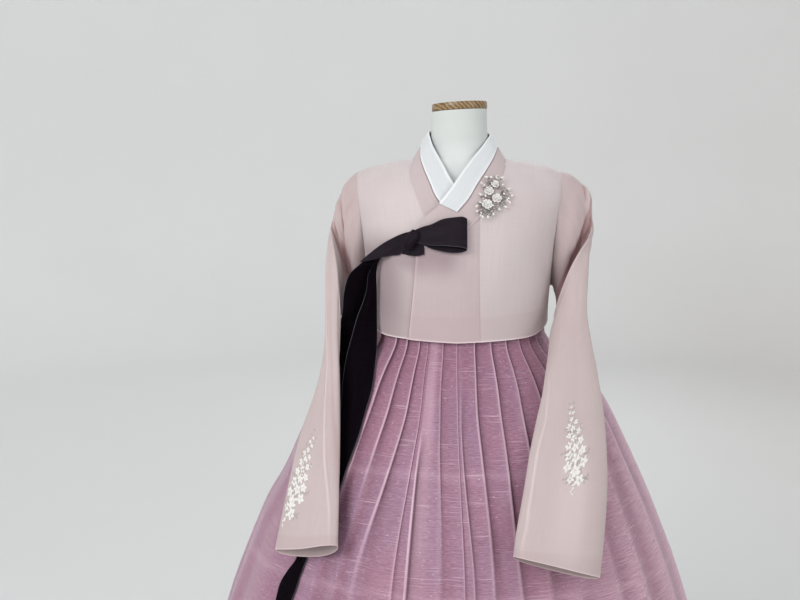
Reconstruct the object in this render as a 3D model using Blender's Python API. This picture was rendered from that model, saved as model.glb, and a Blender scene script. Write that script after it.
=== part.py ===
"""Korean hanbok, a short jacket over a long pleated skirt, worn by a limbless dress form.

Tables and helpers are in millimetres and degrees; a mesh is written in metres.
X runs to the wearer's left, the front faces -Y, Z is up and the floor is z = 0.
The origin is the middle of the bounding box's underside.
"""
import math
from collections import namedtuple

import bmesh
import bpy
from mathutils import Vector

MM = 0.001
CLOTH = 1.2                # thickness of the jacket, sleeve and skirt walls
COLLAR_STRIP = 1.2         # thickness of the stiff white collar strip
RIBBON = 1.3               # thickness of the tie ribbons
SEAM = 0.15                # half of the gap that two pieces keep at a seam
LAYER = 0.3                # gap between two layers that lie on each other
SHARP = math.radians(50)

# ---------------------------------------------------------------- driving sizes
BODICE_POWER = 2.2         # roundness of the jacket's level sections
SHOULDER_DROP = 75.0       # height over which front and back curve in to the shoulder ridge
SHOULDER_ARC = 125.0       # length of cloth that this curve takes
SIDE_SEAM = 90.0           # angle of the side seams
FRONT_OVERLAP = 4.6        # how far the overlap panel stands off the front under it

Bodice = namedtuple("Bodice", "height half_width front back")
BODICE = [
    Bodice(1060, 152.5, 132.0, 122.0),
    Bodice(1100, 152.5, 132.5, 120.5),
    Bodice(1150, 154.5, 134.5, 119.0),
    Bodice(1200, 159.0, 135.0, 119.0),
    Bodice(1250, 170.0, 127.0, 118.0),
    Bodice(1300, 185.0, 111.0, 108.0),
    Bodice(1350, 195.0, 92.0, 90.0),
]

Ridge = namedtuple("Ridge", "x height")
RIDGE = [Ridge(0, 1366), Ridge(74, 1357), Ridge(120, 1350), Ridge(165, 1338), Ridge(200, 1322)]
RIDGE_REACH = 193.0        # half-width that the ridge's x is measured with

HEM_FRONT = 1071.0         # height of the jacket's hem at the middle
HEM_RISE = 5.0             # rise of the hem towards the side seams

# Levels of the body panels: -1 front hem, 0 shoulder ridge, +1 back hem.
FRONT_LEVELS = [-1.0, -0.92, -0.84, -0.77, -0.68, -0.59, -0.50, -0.42, -0.34, -0.26, -0.18, -0.09]
BACK_LEVELS = [0.09, 0.16, 0.21, 0.30, 0.40, 0.50, 0.59, 0.68, 0.77, 0.84, 0.92, 1.0]
LEVELS = FRONT_LEVELS + [0.0] + BACK_LEVELS
ARMPIT = 0.77              # level where the armhole ends and the side seam starts

Edge = namedtuple("Edge", "level angle")
ARMHOLE = [Edge(0.0, 59.5), Edge(0.20, 59.8), Edge(0.31, 61.5), Edge(0.45, 68.5),
           Edge(0.56, 74.0), Edge(0.67, 81.0), Edge(ARMPIT, SIDE_SEAM), Edge(1.0, SIDE_SEAM)]
# Inner boundary of the body panels: front edge, collar line, middle of the back.
LEFT_INNER = [Edge(-1.0, 11.9), Edge(-0.42, 9.2), Edge(-0.34, 13.0), Edge(-0.26, 17.0),
              Edge(-0.18, 19.5), Edge(-0.09, 20.3), Edge(0.0, 20.2), Edge(0.09, 18.2),
              Edge(0.16, 12.0), Edge(0.21, 0.0), Edge(1.0, 0.0)]
RIGHT_INNER = [Edge(-1.0, 3.0), Edge(-0.59, 5.5), Edge(-0.50, 7.9), Edge(-0.42, 15.7),
               Edge(-0.34, 18.5), Edge(-0.26, 20.8), Edge(-0.18, 21.9), Edge(-0.09, 20.8),
               Edge(0.0, 20.2), Edge(0.09, 18.2), Edge(0.16, 12.0), Edge(0.21, 0.0), Edge(1.0, 0.0)]

# The overlap panel: its top follows the collar's first stations, its sides run down to the hem.
OVERLAP_HEM = (-28.4, 11.9)       # angles of the free edge and of the seam at the hem
OVERLAP_STATIONS = 6              # collar stations that its top edge follows
OVERLAP_LEVELS = 10

# Collar band: where its outer edge lies on the bodice, and its inner edge in space.
Collar = namedtuple("Collar", "angle level lift inner")
COLLAR = [
    Collar(-21.0, -0.56, 4.6, (-60, -126, 1260)),
    Collar(-12.5, -0.557, 4.6, (-46, -125.5, 1273)),
    Collar(-5.0, -0.54, 4.6, (-36, -124, 1281)),
    Collar(2.0, -0.493, 4.4, (-28.7, -121, 1288)),
    Collar(6.0, -0.455, 3.2, (-14.5, -112, 1305)),
    Collar(9.2, -0.42, 1.2, (-1, -100, 1324)),
    Collar(13.0, -0.34, 0.6, (11, -83, 1341)),
    Collar(17.0, -0.26, 0.6, (24, -62, 1358)),
    Collar(19.5, -0.18, 0.6, (37, -40, 1374)),
    Collar(20.3, -0.09, 0.6, (46, -20, 1387)),
    Collar(20.2, 0.0, 0.6, (51, 2, 1395)),
    Collar(18.2, 0.09, 0.6, (47, 23, 1398)),
    Collar(12.0, 0.16, 0.6, (33, 42, 1397)),
    Collar(0.0, 0.21, 0.6, (0, 55, 1395)),
    Collar(-12.0, 0.16, 0.6, (-33, 42, 1399)),
    Collar(-18.2, 0.09, 0.6, (-47, 22, 1401)),
    Collar(-20.2, 0.0, 0.6, (-51, 0, 1400)),
    Collar(-20.8, -0.09, 0.6, (-48, -20, 1389)),
    Collar(-21.9, -0.18, 0.6, (-44, -37, 1377)),
    Collar(-20.8, -0.26, 0.5, (-36, -55, 1362)),
    Collar(-18.3, -0.34, 0.4, (-26, -72, 1345)),
    Collar(-15.4, -0.42, 0.3, (-14, -92, 1324)),
    Collar(-7.4, -0.50, 0.3, (13, -111, 1287)),
]
COLLAR_BOW = 2.0           # outward bow of the band between its edges
COLLAR_COLUMNS = (0.0, 0.25, 0.5, 0.75, 1.0)
STRIP_COLUMNS = (0.5, 0.75, 1.0, 1.03)
STRIP_START = 3            # collar station where the white strip begins

# Sleeves: a section from its outer edge to its inner edge, bulging to the front and the back.
Rib = namedtuple("Rib", "outer inner front back")
LEFT_SLEEVE = [
    Rib((184, 1, 1331), (159, 0, 1145), (-2, -52, 6), (-2, 50, 6)),
    Rib((200, 0, 1319), (161, -5, 1138), (2, -47, 4), (3, 49, 4)),
    Rib((214, -2, 1304), (163, -10, 1130), (5, -34, 0), (7, 46, 0)),
    Rib((219, -11, 1281), (164, -15, 1121), (1, -19, -2), (9, 43, -4)),
    Rib((220, -18, 1261), (165, -17, 1112), (1, -12, -3), (12, 40, -11)),
    Rib((221, -24, 1250), (167, -24, 1104), (-4, -11, -2), (14, 40, -22)),
    Rib((221, -30, 1241), (166, -46, 1101), (-4, -12, 0), (14, 46, -20)),
    Rib((221, -39, 1228), (160, -68, 1101), (-6, -14, 10), (14, 51, -25)),
    Rib((218, -51, 1200), (148, -100, 1083), (-7, -11, 2), (12, 60, -15)),
    Rib((209, -68, 1160), (141, -135, 1056), (-2, -12, 2), (8, 64, -12)),
    Rib((205, -95, 1115), (135, -163, 1033), (2, -11, 2), (8, 62, -8)),
    Rib((208, -122, 1078), (128, -192, 1003), (4, -12, 0), (6, 52, -2)),
    Rib((215, -150, 1035), (117, -222, 970), (4, -14, 0), (4, 38, 0)),
    Rib((221, -185, 985), (106, -254, 935), (2, -16, 2), (2, 25, 0)),
    Rib((222, -225, 930), (95, -292, 888), (0, -18, 2), (0, 22, 0)),
    Rib((217, -264, 868), (86, -323, 850), (2, -22, 6), (0, 19, -2)),
    Rib((201, -325, 780), (79, -352, 820), (3, -28, 12), (0, 14, -6)),
]
RIGHT_SLEEVE = [
    Rib((-182, 1, 1325), (-159, 0, 1145), (2, -52, 6), (2, 50, 6)),
    Rib((-193, 0, 1309), (-161, -5, 1138), (-1, -47, 4), (-3, 49, 4)),
    Rib((-201, -4, 1293), (-163, -10, 1130), (-3, -34, 0), (-7, 46, 0)),
    Rib((-206, -11, 1277), (-164, -15, 1121), (-1, -19, -2), (-9, 43, -4)),
    Rib((-210, -20, 1259), (-165, -19, 1112), (1, -12, -3), (-11, 40, -12)),
    Rib((-212, -25, 1249), (-166, -24, 1103), (4, -9, -5), (-13, 40, -20)),
    Rib((-213, -28, 1243), (-177, -58, 1104), (4, -12, -4), (-14, 46, -20)),
    Rib((-214, -34, 1234), (-188, -88, 1106), (6, -14, 6), (-14, 54, -20)),
    Rib((-217, -48, 1200), (-188, -105, 1084), (6, -12, 4), (-12, 60, -18)),
    Rib((-217, -68, 1155), (-186, -126, 1059), (4, -11, 2), (-10, 64, -12)),
    Rib((-214, -92, 1105), (-184, -148, 1033), (2, -11, 2), (-8, 62, -6)),
    Rib((-212, -115, 1065), (-181, -168, 1004), (0, -12, 0), (-6, 54, -2)),
    Rib((-216, -136, 1025), (-178, -192, 971), (-2, -13, 0), (-4, 46, 0)),
    Rib((-226, -159, 982), (-175, -218, 937), (-4, -14, 2), (-2, 32, 0)),
    Rib((-243, -189, 928), (-172, -248, 896), (-5, -15, 2), (0, 24, 0)),
    Rib((-256, -227, 852), (-169, -283, 852), (-6, -16, 4), (0, 18, -2)),
    Rib((-267, -263, 780), (-167, -314, 806), (-6, -18, 8), (4, 12, -8)),
]
ARMHOLE_GAP = 0.5          # sideways gap between body panel and sleeve

# Skirt: the surface that the pleats' edges touch, from the waistband down to the hem.
Skirt = namedtuple("Skirt", "height half_width front back power flare")
SKIRT = [
    Skirt(1124.5, 141.0, 120.5, 109.5, 2.2, 0.0),
    Skirt(1083, 146.5, 125.0, 114.0, 2.2, 0.0),
    Skirt(1066, 149.0, 127.5, 116.5, 2.15, 0.02),
    Skirt(1050, 160.0, 141.0, 130.0, 2.1, 0.08),
    Skirt(1030, 181.0, 164.0, 153.0, 2.05, 0.16),
    Skirt(990, 222.0, 206.0, 199.0, 2.0, 0.30),
    Skirt(948, 256.0, 245.0, 239.0, 2.0, 0.42),
    Skirt(860, 297.0, 297.0, 290.0, 2.0, 0.60),
    Skirt(770, 334.0, 340.0, 330.0, 2.0, 0.72),
    Skirt(590, 404.0, 408.0, 402.0, 2.0, 0.85),
    Skirt(400, 452.0, 454.0, 452.0, 2.0, 0.93),
    Skirt(200, 487.0, 485.0, 485.0, 2.0, 0.98),
    Skirt(25, 506.0, 500.0, 500.0, 2.0, 1.0),
]
TUCK = 3.5                 # depth of a pleat's step where it is sewn in
SKIRT_WALL = 2.5           # radial thickness of the pleated wall
TUCK_SHARE = (0.08, 0.26)  # share of a pleat that its step takes, at the top and at the hem
GATHER = 0.20              # how far the front pleats hang straighter than the flare

Pleat = namedtuple("Pleat", "angle hem_depth")
PLEATS = [                 # half of the skirt; the other half repeats them
    Pleat(-87, 20), Pleat(-76, 24), Pleat(-64, 18), Pleat(-48.5, 26), Pleat(-37, 20),
    Pleat(-27, 17), Pleat(-20, 27), Pleat(-10.5, 14), Pleat(-1, 24), Pleat(9.5, 18),
    Pleat(21, 22), Pleat(32, 24), Pleat(44, 17), Pleat(54, 22), Pleat(63, 26),
    Pleat(73, 18), Pleat(83, 22),
]

WAISTBAND = (1124.8, 1200.0)      # lower and upper edge
WAISTBAND_WALL = 3.0

# Tie ribbons: the two edges of every station. An edge of three values is a point in space,
# an edge of two is an angle and a height on the skirt.
Edges = namedtuple("Edges", "left right lift", defaults=(0.0,))
BAND = [
    Edges((-71, -127, 1246), (-77, -129, 1226)),
    Edges((-83, -120, 1243), (-86, -121, 1216)),
    Edges((-99, -111.2, 1236), (-92, -117.7, 1208)),
    Edges((-120, -103, 1224), (-104, -112, 1206)),
    Edges((-141, -99, 1208), (-116, -110.5, 1204)),
    Edges((-157, -99, 1194), (-124, -107.5, 1201)),
]
LONG_TAIL = [
    Edges((-141, -90, 1205), (-124, -98, 1207)),
    Edges((-157, -90, 1190), (-128, -93, 1194)),
    Edges((-172, -94, 1176), (-136, -83, 1176)),
    Edges((-179, -98, 1160), (-140, -78, 1152)),
    Edges((-183, -101, 1138), (-142, -74, 1122)),
    Edges((-185, -100, 1114), (-143, -76, 1092)),
    Edges((-188.5, -90, 1086), (-143, -90, 1068)),
    Edges((-190, -92, 1056), (-144, -102, 1045)),
    Edges((-187, -120, 1010), (-146, -131, 1012)),
    Edges((-60, 972), (-47.5, 980), 3.4),
    Edges((-56, 930), (-45.5, 938), 3.6),
    Edges((-52.5, 868), (-43.5, 876), 3.2),
    Edges((-52.5, 812), (-45.5, 820), 2.7),
    Edges((-50.3, 764), (-46.6, 768), 3.2),
    Edges((-52.1, 739), (-47.1, 743), 3.2),
    Edges((-53.5, 717), (-47.4, 721), 2.7),
    Edges((-53.2, 694), (-47.7, 705), 2.7),
    Edges((-52.9, 673), (-46.8, 685), 2.7),
    Edges((-52.4, 640), (-46.8, 652), 2.7),
    Edges((-52.3, 612), (-47.0, 618), 2.7),
]
SHORT_TAIL = [
    Edges((-124, -102, 1207), (-113, -106.5, 1208)),
    Edges((-133, -99, 1194), (-125, -102, 1197)),
    Edges((-143, -97, 1174), (-130, -95, 1178)),
    Edges((-146, -98, 1149), (-130, -92, 1150)),
    Edges((-152, -102, 1128), (-130, -88, 1124)),
    Edges((-160, -107, 1107), (-130, -88, 1096)),
    Edges((-168, -112, 1078), (-129, -98, 1067)),
    Edges((-177, -120, 1043), (-130, -113, 1038)),
    Edges((-181, -139, 1006), (-132, -158, 1003)),
    Edges((-53, 966), (-40.5, 974), 5.8),
    Edges((-52, 930), (-40, 940), 6.1),
    Edges((-51, 880), (-41.5, 886), 5.6),
    Edges((-50, 830), (-42, 838), 4.9),
]
LOOP = [                   # out along the front layer, round the end, back behind it
    Edges((-68, -136.5, 1230), (-66, -134.5, 1249)),
    Edges((-55, -141, 1228), (-54, -137, 1254)),
    Edges((-41, -146, 1226), (-41, -139.5, 1258)),
    Edges((-23, -150, 1226), (-24, -141, 1266)),
    Edges((-5, -153, 1225), (-6, -143, 1269)),
    Edges((6, -154, 1224), (6, -143.5, 1270)),
    Edges((12.5, -151.5, 1222), (12, -140.5, 1267.5)),
    Edges((14, -147, 1219), (13.5, -136.5, 1265.5)),
    Edges((10, -143.5, 1216), (10, -133, 1266)),
    Edges((1, -143, 1214), (0, -132.3, 1266)),
    Edges((-12, -142.5, 1214), (-12, -132.5, 1264)),
    Edges((-26, -140.5, 1216), (-26, -132, 1260)),
    Edges((-42, -138.2, 1220), (-43, -131.5, 1254)),
    Edges((-56, -135, 1226), (-55, -131, 1250)),
    Edges((-68, -132.3, 1229), (-66, -130.4, 1247)),
]
TONGUE = [
    Edges((-79, -123.2, 1223), (-81, -121.5, 1209)),
    Edges((-74, -126.0, 1228), (-75, -126.5, 1208)),
    Edges((-62, -132.6, 1228.5), (-63, -133.4, 1208)),
    Edges((-53, -134.6, 1224.5), (-52, -135.8, 1211)),
]
RIBBON_COLUMNS = 4         # strips across a ribbon
RIBBON_STEPS = 2           # rows from a station to the next

KNOT_SIDES = 12
Knot = namedtuple("Knot", "x y z across thick")
KNOT = [
    Knot(-64, -137.7, 1250.5, 5.0, 1.6), Knot(-67, -140.7, 1244, 7.0, 2.4),
    Knot(-71.5, -141.2, 1235.5, 7.5, 2.8), Knot(-77, -138.2, 1227.5, 7.0, 2.4),
    Knot(-81, -133.7, 1221.5, 5.0, 1.6),
]

# Brooch: places are across and up from its middle, in the plane that lies on the left front.
BROOCH_PLACE = (13.3, -0.332)     # angle and level of the middle on the bodice
BROOCH_LIFT = 2.6                 # height of the stems' axis over the bodice
Stem = namedtuple("Stem", "across up radius")
MAIN_STEM = [Stem(-15, -27, 0.8), Stem(-9, -18, 1.2), Stem(-3, -8, 1.4), Stem(1, 3, 1.4),
             Stem(3, 14, 1.3), Stem(8, 24, 1.1), Stem(13, 31, 0.7)]
SIDE_STEM = [Stem(0.2, -6.2, 1.0), Stem(9, -4.5, 1.1), Stem(16, -1, 1.1), Stem(24, 4, 0.9), Stem(31, 6, 0.6)]
STEM_SIDES = 8
Flower = namedtuple("Flower", "across up radius turn")
FLOWERS = [Flower(-6, -13, 8.2, 10), Flower(10, -3, 7.6, 40), Flower(-1.5, 10, 7.4, 25), Flower(9, 22, 6.2, 0)]
PETALS = 5
PETAL_POINTS = 6
FLOWER_BASE = 1.8                 # height of a flower's underside over the stems' axis
Leaf = namedtuple("Leaf", "across up turn length width")
LEAVES = [Leaf(-15.3, -12.1, 150, 13, 5), Leaf(-4.5, -24.6, -38, 12, 5), Leaf(18.0, -8.7, -42, 13, 5),
          Leaf(19.2, 6.9, 62, 12, 5)]
LEAF_THICK = 1.0

# Dress form: level sections of the torso, from the hips to the neck.
Form = namedtuple("Form", "height half_width front back")
FORM = [
    Form(745, 128, 98, 96), Form(752, 141, 110, 108), Form(800, 160, 124, 124),
    Form(880, 162, 122, 128), Form(960, 138, 104, 106), Form(1030, 121, 96, 90),
    Form(1080, 126, 103, 93), Form(1124.8, 133.0, 110.0, 99.5), Form(1162, 133.5, 113.0, 100.5),
    Form(1200.0, 134.5, 113.5, 102.0), Form(1240, 146, 110, 101), Form(1275, 155, 101, 97),
    Form(1300, 159, 90, 89), Form(1318, 163, 77, 77), Form(1330, 160.0, 66, 66),
    Form(1337, 149.0, 58, 58), Form(1342.6, 132.0, 51.5, 51.5), Form(1347.0, 112.0, 45.5, 45.5),
    Form(1351.5, 88.5, 41.5, 41.5), Form(1355.0, 67.5, 41.5, 41.5), Form(1361.5, 54.0, 43.5, 43.5),
    Form(1375, 48.5, 45.5, 46), Form(1400, 46.5, 45.0, 45.2), Form(1435.5, 45.0, 45.0, 45.0),
]
FORM_SIDES = 36
NECK_TILT = 0.055          # rise of the neck's top towards +X, as a slope
CAP_RADIUS = 45.5
CAP_THICK = 12.6
CAP_ROUND = 2.0
POLE_RADIUS = 17.0
BASE_RADIUS = 195.0
BASE_THICK = 12.0
BASE_ROUND = 4.0


# ---------------------------------------------------------------- helpers
def smooth(rows, at, column):
    """Value of a column at a key, on a smooth curve through the table's rows."""
    keys = [row[0] for row in rows]
    values = [getattr(row, column) for row in rows]
    if keys[0] > keys[-1]:
        keys.reverse()
        values.reverse()
    last = len(keys) - 1
    if at <= keys[0]:
        return values[0] + (at - keys[0]) * (values[1] - values[0]) / (keys[1] - keys[0])
    if at >= keys[last]:
        return values[last] + (at - keys[last]) * (values[last] - values[last - 1]) / (keys[last] - keys[last - 1])
    i = max(k for k in range(last) if keys[k] <= at)

    def slope(k):
        low, high = max(k - 1, 0), min(k + 1, last)
        return (values[high] - values[low]) / (keys[high] - keys[low])

    step = keys[i + 1] - keys[i]
    t = (at - keys[i]) / step
    start = (2 * t ** 3 - 3 * t ** 2 + 1) * values[i] + (t ** 3 - 2 * t ** 2 + t) * step * slope(i)
    end = (-2 * t ** 3 + 3 * t ** 2) * values[i + 1] + (t ** 3 - t ** 2) * step * slope(i + 1)
    return start + end


def straight(rows, at):
    """Angle of a boundary at a level, straight between the table's rows."""
    for low, high in zip(rows, rows[1:]):
        if at <= high.level:
            t = (at - low.level) / (high.level - low.level)
            return low.angle + (high.angle - low.angle) * t
    return rows[-1].angle


def ease(t):
    t = min(max(t, 0.0), 1.0)
    return t * t * (3 - 2 * t)


def power_sine(angle, power):
    value = math.sin(math.radians(angle))
    return math.copysign(abs(value) ** (2 / power), value)


def power_cosine(angle, power):
    value = math.cos(math.radians(angle))
    return math.copysign(abs(value) ** (2 / power), value)


def section_point(angle, half_width, front, back, power, height):
    """Point of a level section; angle 0 is the front, 90 is +X."""
    depth = front if math.cos(math.radians(angle)) > 0 else back
    return Vector((half_width * power_sine(angle, power), -depth * power_cosine(angle, power), height))


def bodice_skin(angle, level):
    """Point of the jacket's outer surface without any lift."""
    across = power_sine(angle, BODICE_POWER)
    x = RIDGE_REACH * abs(across)
    start = smooth(RIDGE, x, "height") - SHOULDER_DROP
    top = start + SHOULDER_ARC
    hem = HEM_FRONT + HEM_RISE * abs(across)
    height = hem + (top - hem) * (1 - abs(level))
    bend = 0.0
    if height > start:
        bend = math.radians(90 * (height - start) / SHOULDER_ARC)
        height = start + SHOULDER_DROP * math.sin(bend)
    half_width = smooth(BODICE, height, "half_width")
    depth = smooth(BODICE, height, "front" if level < 0 else "back")
    side = -1 if level < 0 else 1
    y = side * depth * power_cosine(angle, BODICE_POWER) * math.cos(bend)
    return Vector((half_width * across, y, height))


def bodice_normal(angle, level):
    """Outward direction of the jacket's surface."""
    nudge_angle, nudge_level = 0.4, 0.004
    angle = min(max(angle, -SIDE_SEAM + nudge_angle), SIDE_SEAM - nudge_angle)
    level = min(max(level, -1.0), 1.0)
    if abs(level) < nudge_level * 1.5:
        return Vector((0.12 * math.copysign(1, angle), 0, 1)).normalized()
    across = bodice_skin(angle + nudge_angle, level) - bodice_skin(angle - nudge_angle, level)
    along = bodice_skin(angle, level + nudge_level) - bodice_skin(angle, level - nudge_level)
    return across.cross(along).normalized()


def bodice_point(angle, level, lift=0.0):
    return bodice_skin(angle, level) + bodice_normal(angle, level) * lift


def skirt_point(angle, height, lift=0.0):
    """Point of the surface that the pleats' edges touch, moved out level by lift."""
    power = smooth(SKIRT, height, "power")
    turned = angle - skirt_gather(height) * math.degrees(math.sin(math.radians(2 * angle))) / 2
    sizes = [smooth(SKIRT, height, name) + lift for name in ("half_width", "front", "back")]
    return section_point(turned, *sizes, power, height)


def skirt_gather(height):
    return GATHER * ease((1070 - height) / 120)


def clean_scene():
    for item in list(bpy.data.objects):
        bpy.data.objects.remove(item, do_unlink=True)


def finish_material(name, colour, roughness, metallic=0.0):
    material = bpy.data.materials.new(name)
    material.use_nodes = True
    shader = material.node_tree.nodes["Principled BSDF"]
    shader.inputs["Base Color"].default_value = (*colour, 1.0)
    shader.inputs["Roughness"].default_value = roughness
    shader.inputs["Metallic"].default_value = metallic
    return material


def add_object(name, shape, material, sharp=SHARP):
    """Close the bmesh's shading and put it in the scene as a named object."""
    bmesh.ops.recalc_face_normals(shape, faces=shape.faces[:])
    mesh = bpy.data.meshes.new(name)
    shape.to_mesh(mesh)
    shape.free()
    mesh.shade_smooth()
    mesh.set_sharp_from_angle(angle=sharp)
    mesh.materials.append(material)
    item = bpy.data.objects.new(name, mesh)
    bpy.context.scene.collection.objects.link(item)
    return item


def face_rows(shape, first, second, ring):
    count = len(first)
    for i in range(count if ring else count - 1):
        j = (i + 1) % count
        shape.faces.new((first[i], first[j], second[j], second[i]))


def wall_between(name, outer, inner, material, ring=False):
    """Closed cloth wall between two grids of points; ring closes each row on itself."""
    shape = bmesh.new()
    outside = [[shape.verts.new(p * MM) for p in row] for row in outer]
    inside = [[shape.verts.new(p * MM) for p in row] for row in inner]
    for rows in (outside, inside):
        for low, high in zip(rows, rows[1:]):
            face_rows(shape, low, high, ring)
    face_rows(shape, outside[0], inside[0], ring)
    face_rows(shape, outside[-1], inside[-1], ring)
    if not ring:
        for column in (0, -1):
            edge_out = [row[column] for row in outside]
            edge_in = [row[column] for row in inside]
            face_rows(shape, edge_out, edge_in, False)
    return add_object(name, shape, material)


def grid_normals(grid, facing):
    """Unit normals of an open grid, turned to the side that facing points to."""
    normals = []
    last_row, last_column = len(grid) - 1, len(grid[0]) - 1
    for r, row in enumerate(grid):
        line = []
        for c in range(len(row)):
            along = grid[min(r + 1, last_row)][c] - grid[max(r - 1, 0)][c]
            across = row[min(c + 1, last_column)] - row[max(c - 1, 0)]
            normal = across.cross(along).normalized()
            line.append(normal * facing)
        normals.append(line)
    return normals


def moved(grid, normals, distance):
    return [[p + n * distance for p, n in zip(row, line)] for row, line in zip(grid, normals)]


def loft(name, rings, material, sharp=SHARP):
    """Solid through closed rings of points, flat at both ends."""
    shape = bmesh.new()
    loops = [[shape.verts.new(p * MM) for p in ring] for ring in rings]
    for low, high in zip(loops, loops[1:]):
        face_rows(shape, low, high, True)
    shape.faces.new(loops[0])
    shape.faces.new(loops[-1])
    return add_object(name, shape, material, sharp)


def circle(radius, height, sides, slope=0.0):
    points = []
    for i in range(sides):
        turn = 2 * math.pi * i / sides
        x, y = radius * math.cos(turn), radius * math.sin(turn)
        points.append(Vector((x, y, height + slope * x)))
    return points


# ---------------------------------------------------------------- jacket
def seam_angle():
    return math.degrees(SEAM / BODICE[2].half_width)


def body_panel(name, side, inner_edge, columns, material):
    """Body cloth of one side, from the front hem over the shoulder to the back hem."""
    grid = []
    gap = seam_angle()
    for level in LEVELS:
        start = straight(inner_edge, level) + gap
        end = straight(ARMHOLE, abs(level)) - gap
        row = []
        for c in range(columns + 1):
            angle = start + (end - start) * c / columns
            row.append(bodice_point(side * angle, level))
        grid.append(row)
    facing = side
    inner = moved(grid, grid_normals(grid, facing), -CLOTH)
    return wall_between(name, grid, inner, material)


def overlap_lift(share):
    """The overlap panel lies over the other front and comes down to its own seam."""
    return FRONT_OVERLAP * (1 - ease((share - 0.62) / 0.38))


def overlap_panel(name, material):
    stations = COLLAR[:OVERLAP_STATIONS]
    tops = []
    for near, far in zip(stations, stations[1:]):
        tops.append((near.angle, near.level))
        tops.append(((near.angle + far.angle) / 2, (near.level + far.level) / 2))
    tops.append((stations[-1].angle, stations[-1].level))
    grid = []
    last = len(tops) - 1
    for r in range(OVERLAP_LEVELS + 1):
        rise = r / OVERLAP_LEVELS
        row = []
        for c, (top_angle, top_level) in enumerate(tops):
            share = c / last
            foot = OVERLAP_HEM[0] + (OVERLAP_HEM[1] - OVERLAP_HEM[0]) * share
            angle = foot + (top_angle - foot) * rise - seam_angle() * share
            level = -1 + (top_level + 1 - 0.003) * rise
            lift = overlap_lift(share) * (0.6 + 0.4 * rise)
            row.append(bodice_point(angle, level, lift))
        grid.append(row)
    inner = moved(grid, grid_normals(grid, 1), -CLOTH)
    return wall_between(name, grid, inner, material)


def collar_grid():
    """Outer surface of the collar band, a row for each station and a column across it."""
    grid = []
    for row in COLLAR:
        outer = bodice_point(row.angle, row.level, row.lift)
        inner = Vector(row.inner)
        away = bodice_normal(row.angle, row.level)
        line = []
        for t in COLLAR_COLUMNS + STRIP_COLUMNS[-1:]:
            bow = COLLAR_BOW * 4 * t * (1 - t)
            line.append(outer.lerp(inner, t) + away * bow)
        grid.append(line)
    inset = 2 * SEAM
    for line in grid:
        line[0] = line[0] + (line[1] - line[0]).normalized() * inset
    return grid


def collar_pieces(band_name, strip_name, band_material, strip_material):
    full = collar_grid()
    grid = [line[:len(COLLAR_COLUMNS)] for line in full]
    normals = grid_normals(grid, -1)
    wall_between(band_name, grid, moved(grid, normals, -CLOTH), band_material)
    first = COLLAR_COLUMNS.index(STRIP_COLUMNS[0])
    strip = [line[first:] for line in full[STRIP_START:]]
    strip_normals = [line[first:] + line[-1:] for line in normals[STRIP_START:]]
    under = moved(strip, strip_normals, LAYER)
    over = moved(strip, strip_normals, LAYER + COLLAR_STRIP)
    wall_between(strip_name, over, under, strip_material)


# ---------------------------------------------------------------- sleeves
def armhole_loop(side):
    """Rim of the armhole: over the front down to the armpit and up the back."""
    levels = [level for level in reversed(FRONT_LEVELS) if -level <= ARMPIT]
    back = [level for level in BACK_LEVELS if level < ARMPIT]
    loop = []
    for level in [0.0] + levels + list(reversed(back)):
        angle = side * straight(ARMHOLE, abs(level))
        point = bodice_point(angle, level)
        point.x += side * ARMHOLE_GAP
        loop.append(point)
    centre = sum(loop, Vector()) / len(loop)
    for point in loop:
        inward = centre - point
        inward.x = 0.0
        point += inward.normalized() * ARMHOLE_GAP
    return loop


def rib_loop(rib, count):
    """Points round a sleeve section, from its outer edge over the front to the back."""
    outer, inner = Vector(rib.outer), Vector(rib.inner)
    half, middle = (outer - inner) / 2, (outer + inner) / 2
    loop = []
    for i in range(count):
        turn = 2 * math.pi * i / count
        bulge = Vector(rib.front if i <= count / 2 else rib.back)
        loop.append(middle + half * math.cos(turn) + bulge * abs(math.sin(turn)))
    return loop


def ring_normals(grid, facing):
    """Unit normals of a grid whose rows close on themselves."""
    normals = []
    last = len(grid) - 1
    for r, row in enumerate(grid):
        line = []
        for c in range(len(row)):
            along = grid[min(r + 1, last)][c] - grid[max(r - 1, 0)][c]
            around = row[(c + 1) % len(row)] - row[c - 1]
            line.append(around.cross(along).normalized() * facing)
        normals.append(line)
    return normals


def sleeve(name, side, ribs, material):
    outer = [armhole_loop(side)]
    for rib in ribs:
        outer.append(rib_loop(rib, len(outer[0])))
    inner = moved(outer, ring_normals(outer, side), -CLOTH)
    return wall_between(name, outer, inner, material, ring=True)


# ---------------------------------------------------------------- skirt
def pleat_angles():
    """Every pleat's fold edge round the skirt, with its depth at the hem."""
    edges = [(pleat.angle, pleat.hem_depth) for pleat in PLEATS]
    return edges + [(angle + 180, depth) for angle, depth in edges]


def skirt_ring(height, wall):
    """One level of the pleated skirt; wall is drawn in from the outer surface."""
    edges = pleat_angles()
    flare = smooth(SKIRT, height, "flare")
    share = TUCK_SHARE[0] + (TUCK_SHARE[1] - TUCK_SHARE[0]) * flare
    ring = []
    for k, (start, depth) in enumerate(edges):
        end = edges[(k + 1) % len(edges)][0] + (360 if k + 1 == len(edges) else 0)
        fold = TUCK + (depth - TUCK) * flare
        for place, sink in ((0.0, 0.0), (share, 1.0), ((1 + share) / 2, 0.42)):
            angle = start + (end - start) * place
            ring.append(skirt_point(angle, height, -fold * sink - wall))
    return ring


def skirt(name, material):
    heights = [row.height for row in SKIRT]
    outer = [skirt_ring(height, 0.0) for height in heights]
    inner = [skirt_ring(height, SKIRT_WALL) for height in heights]
    return wall_between(name, outer, inner, material, ring=True)


def form_size(height, column):
    return smooth(FORM, height, column)


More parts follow.
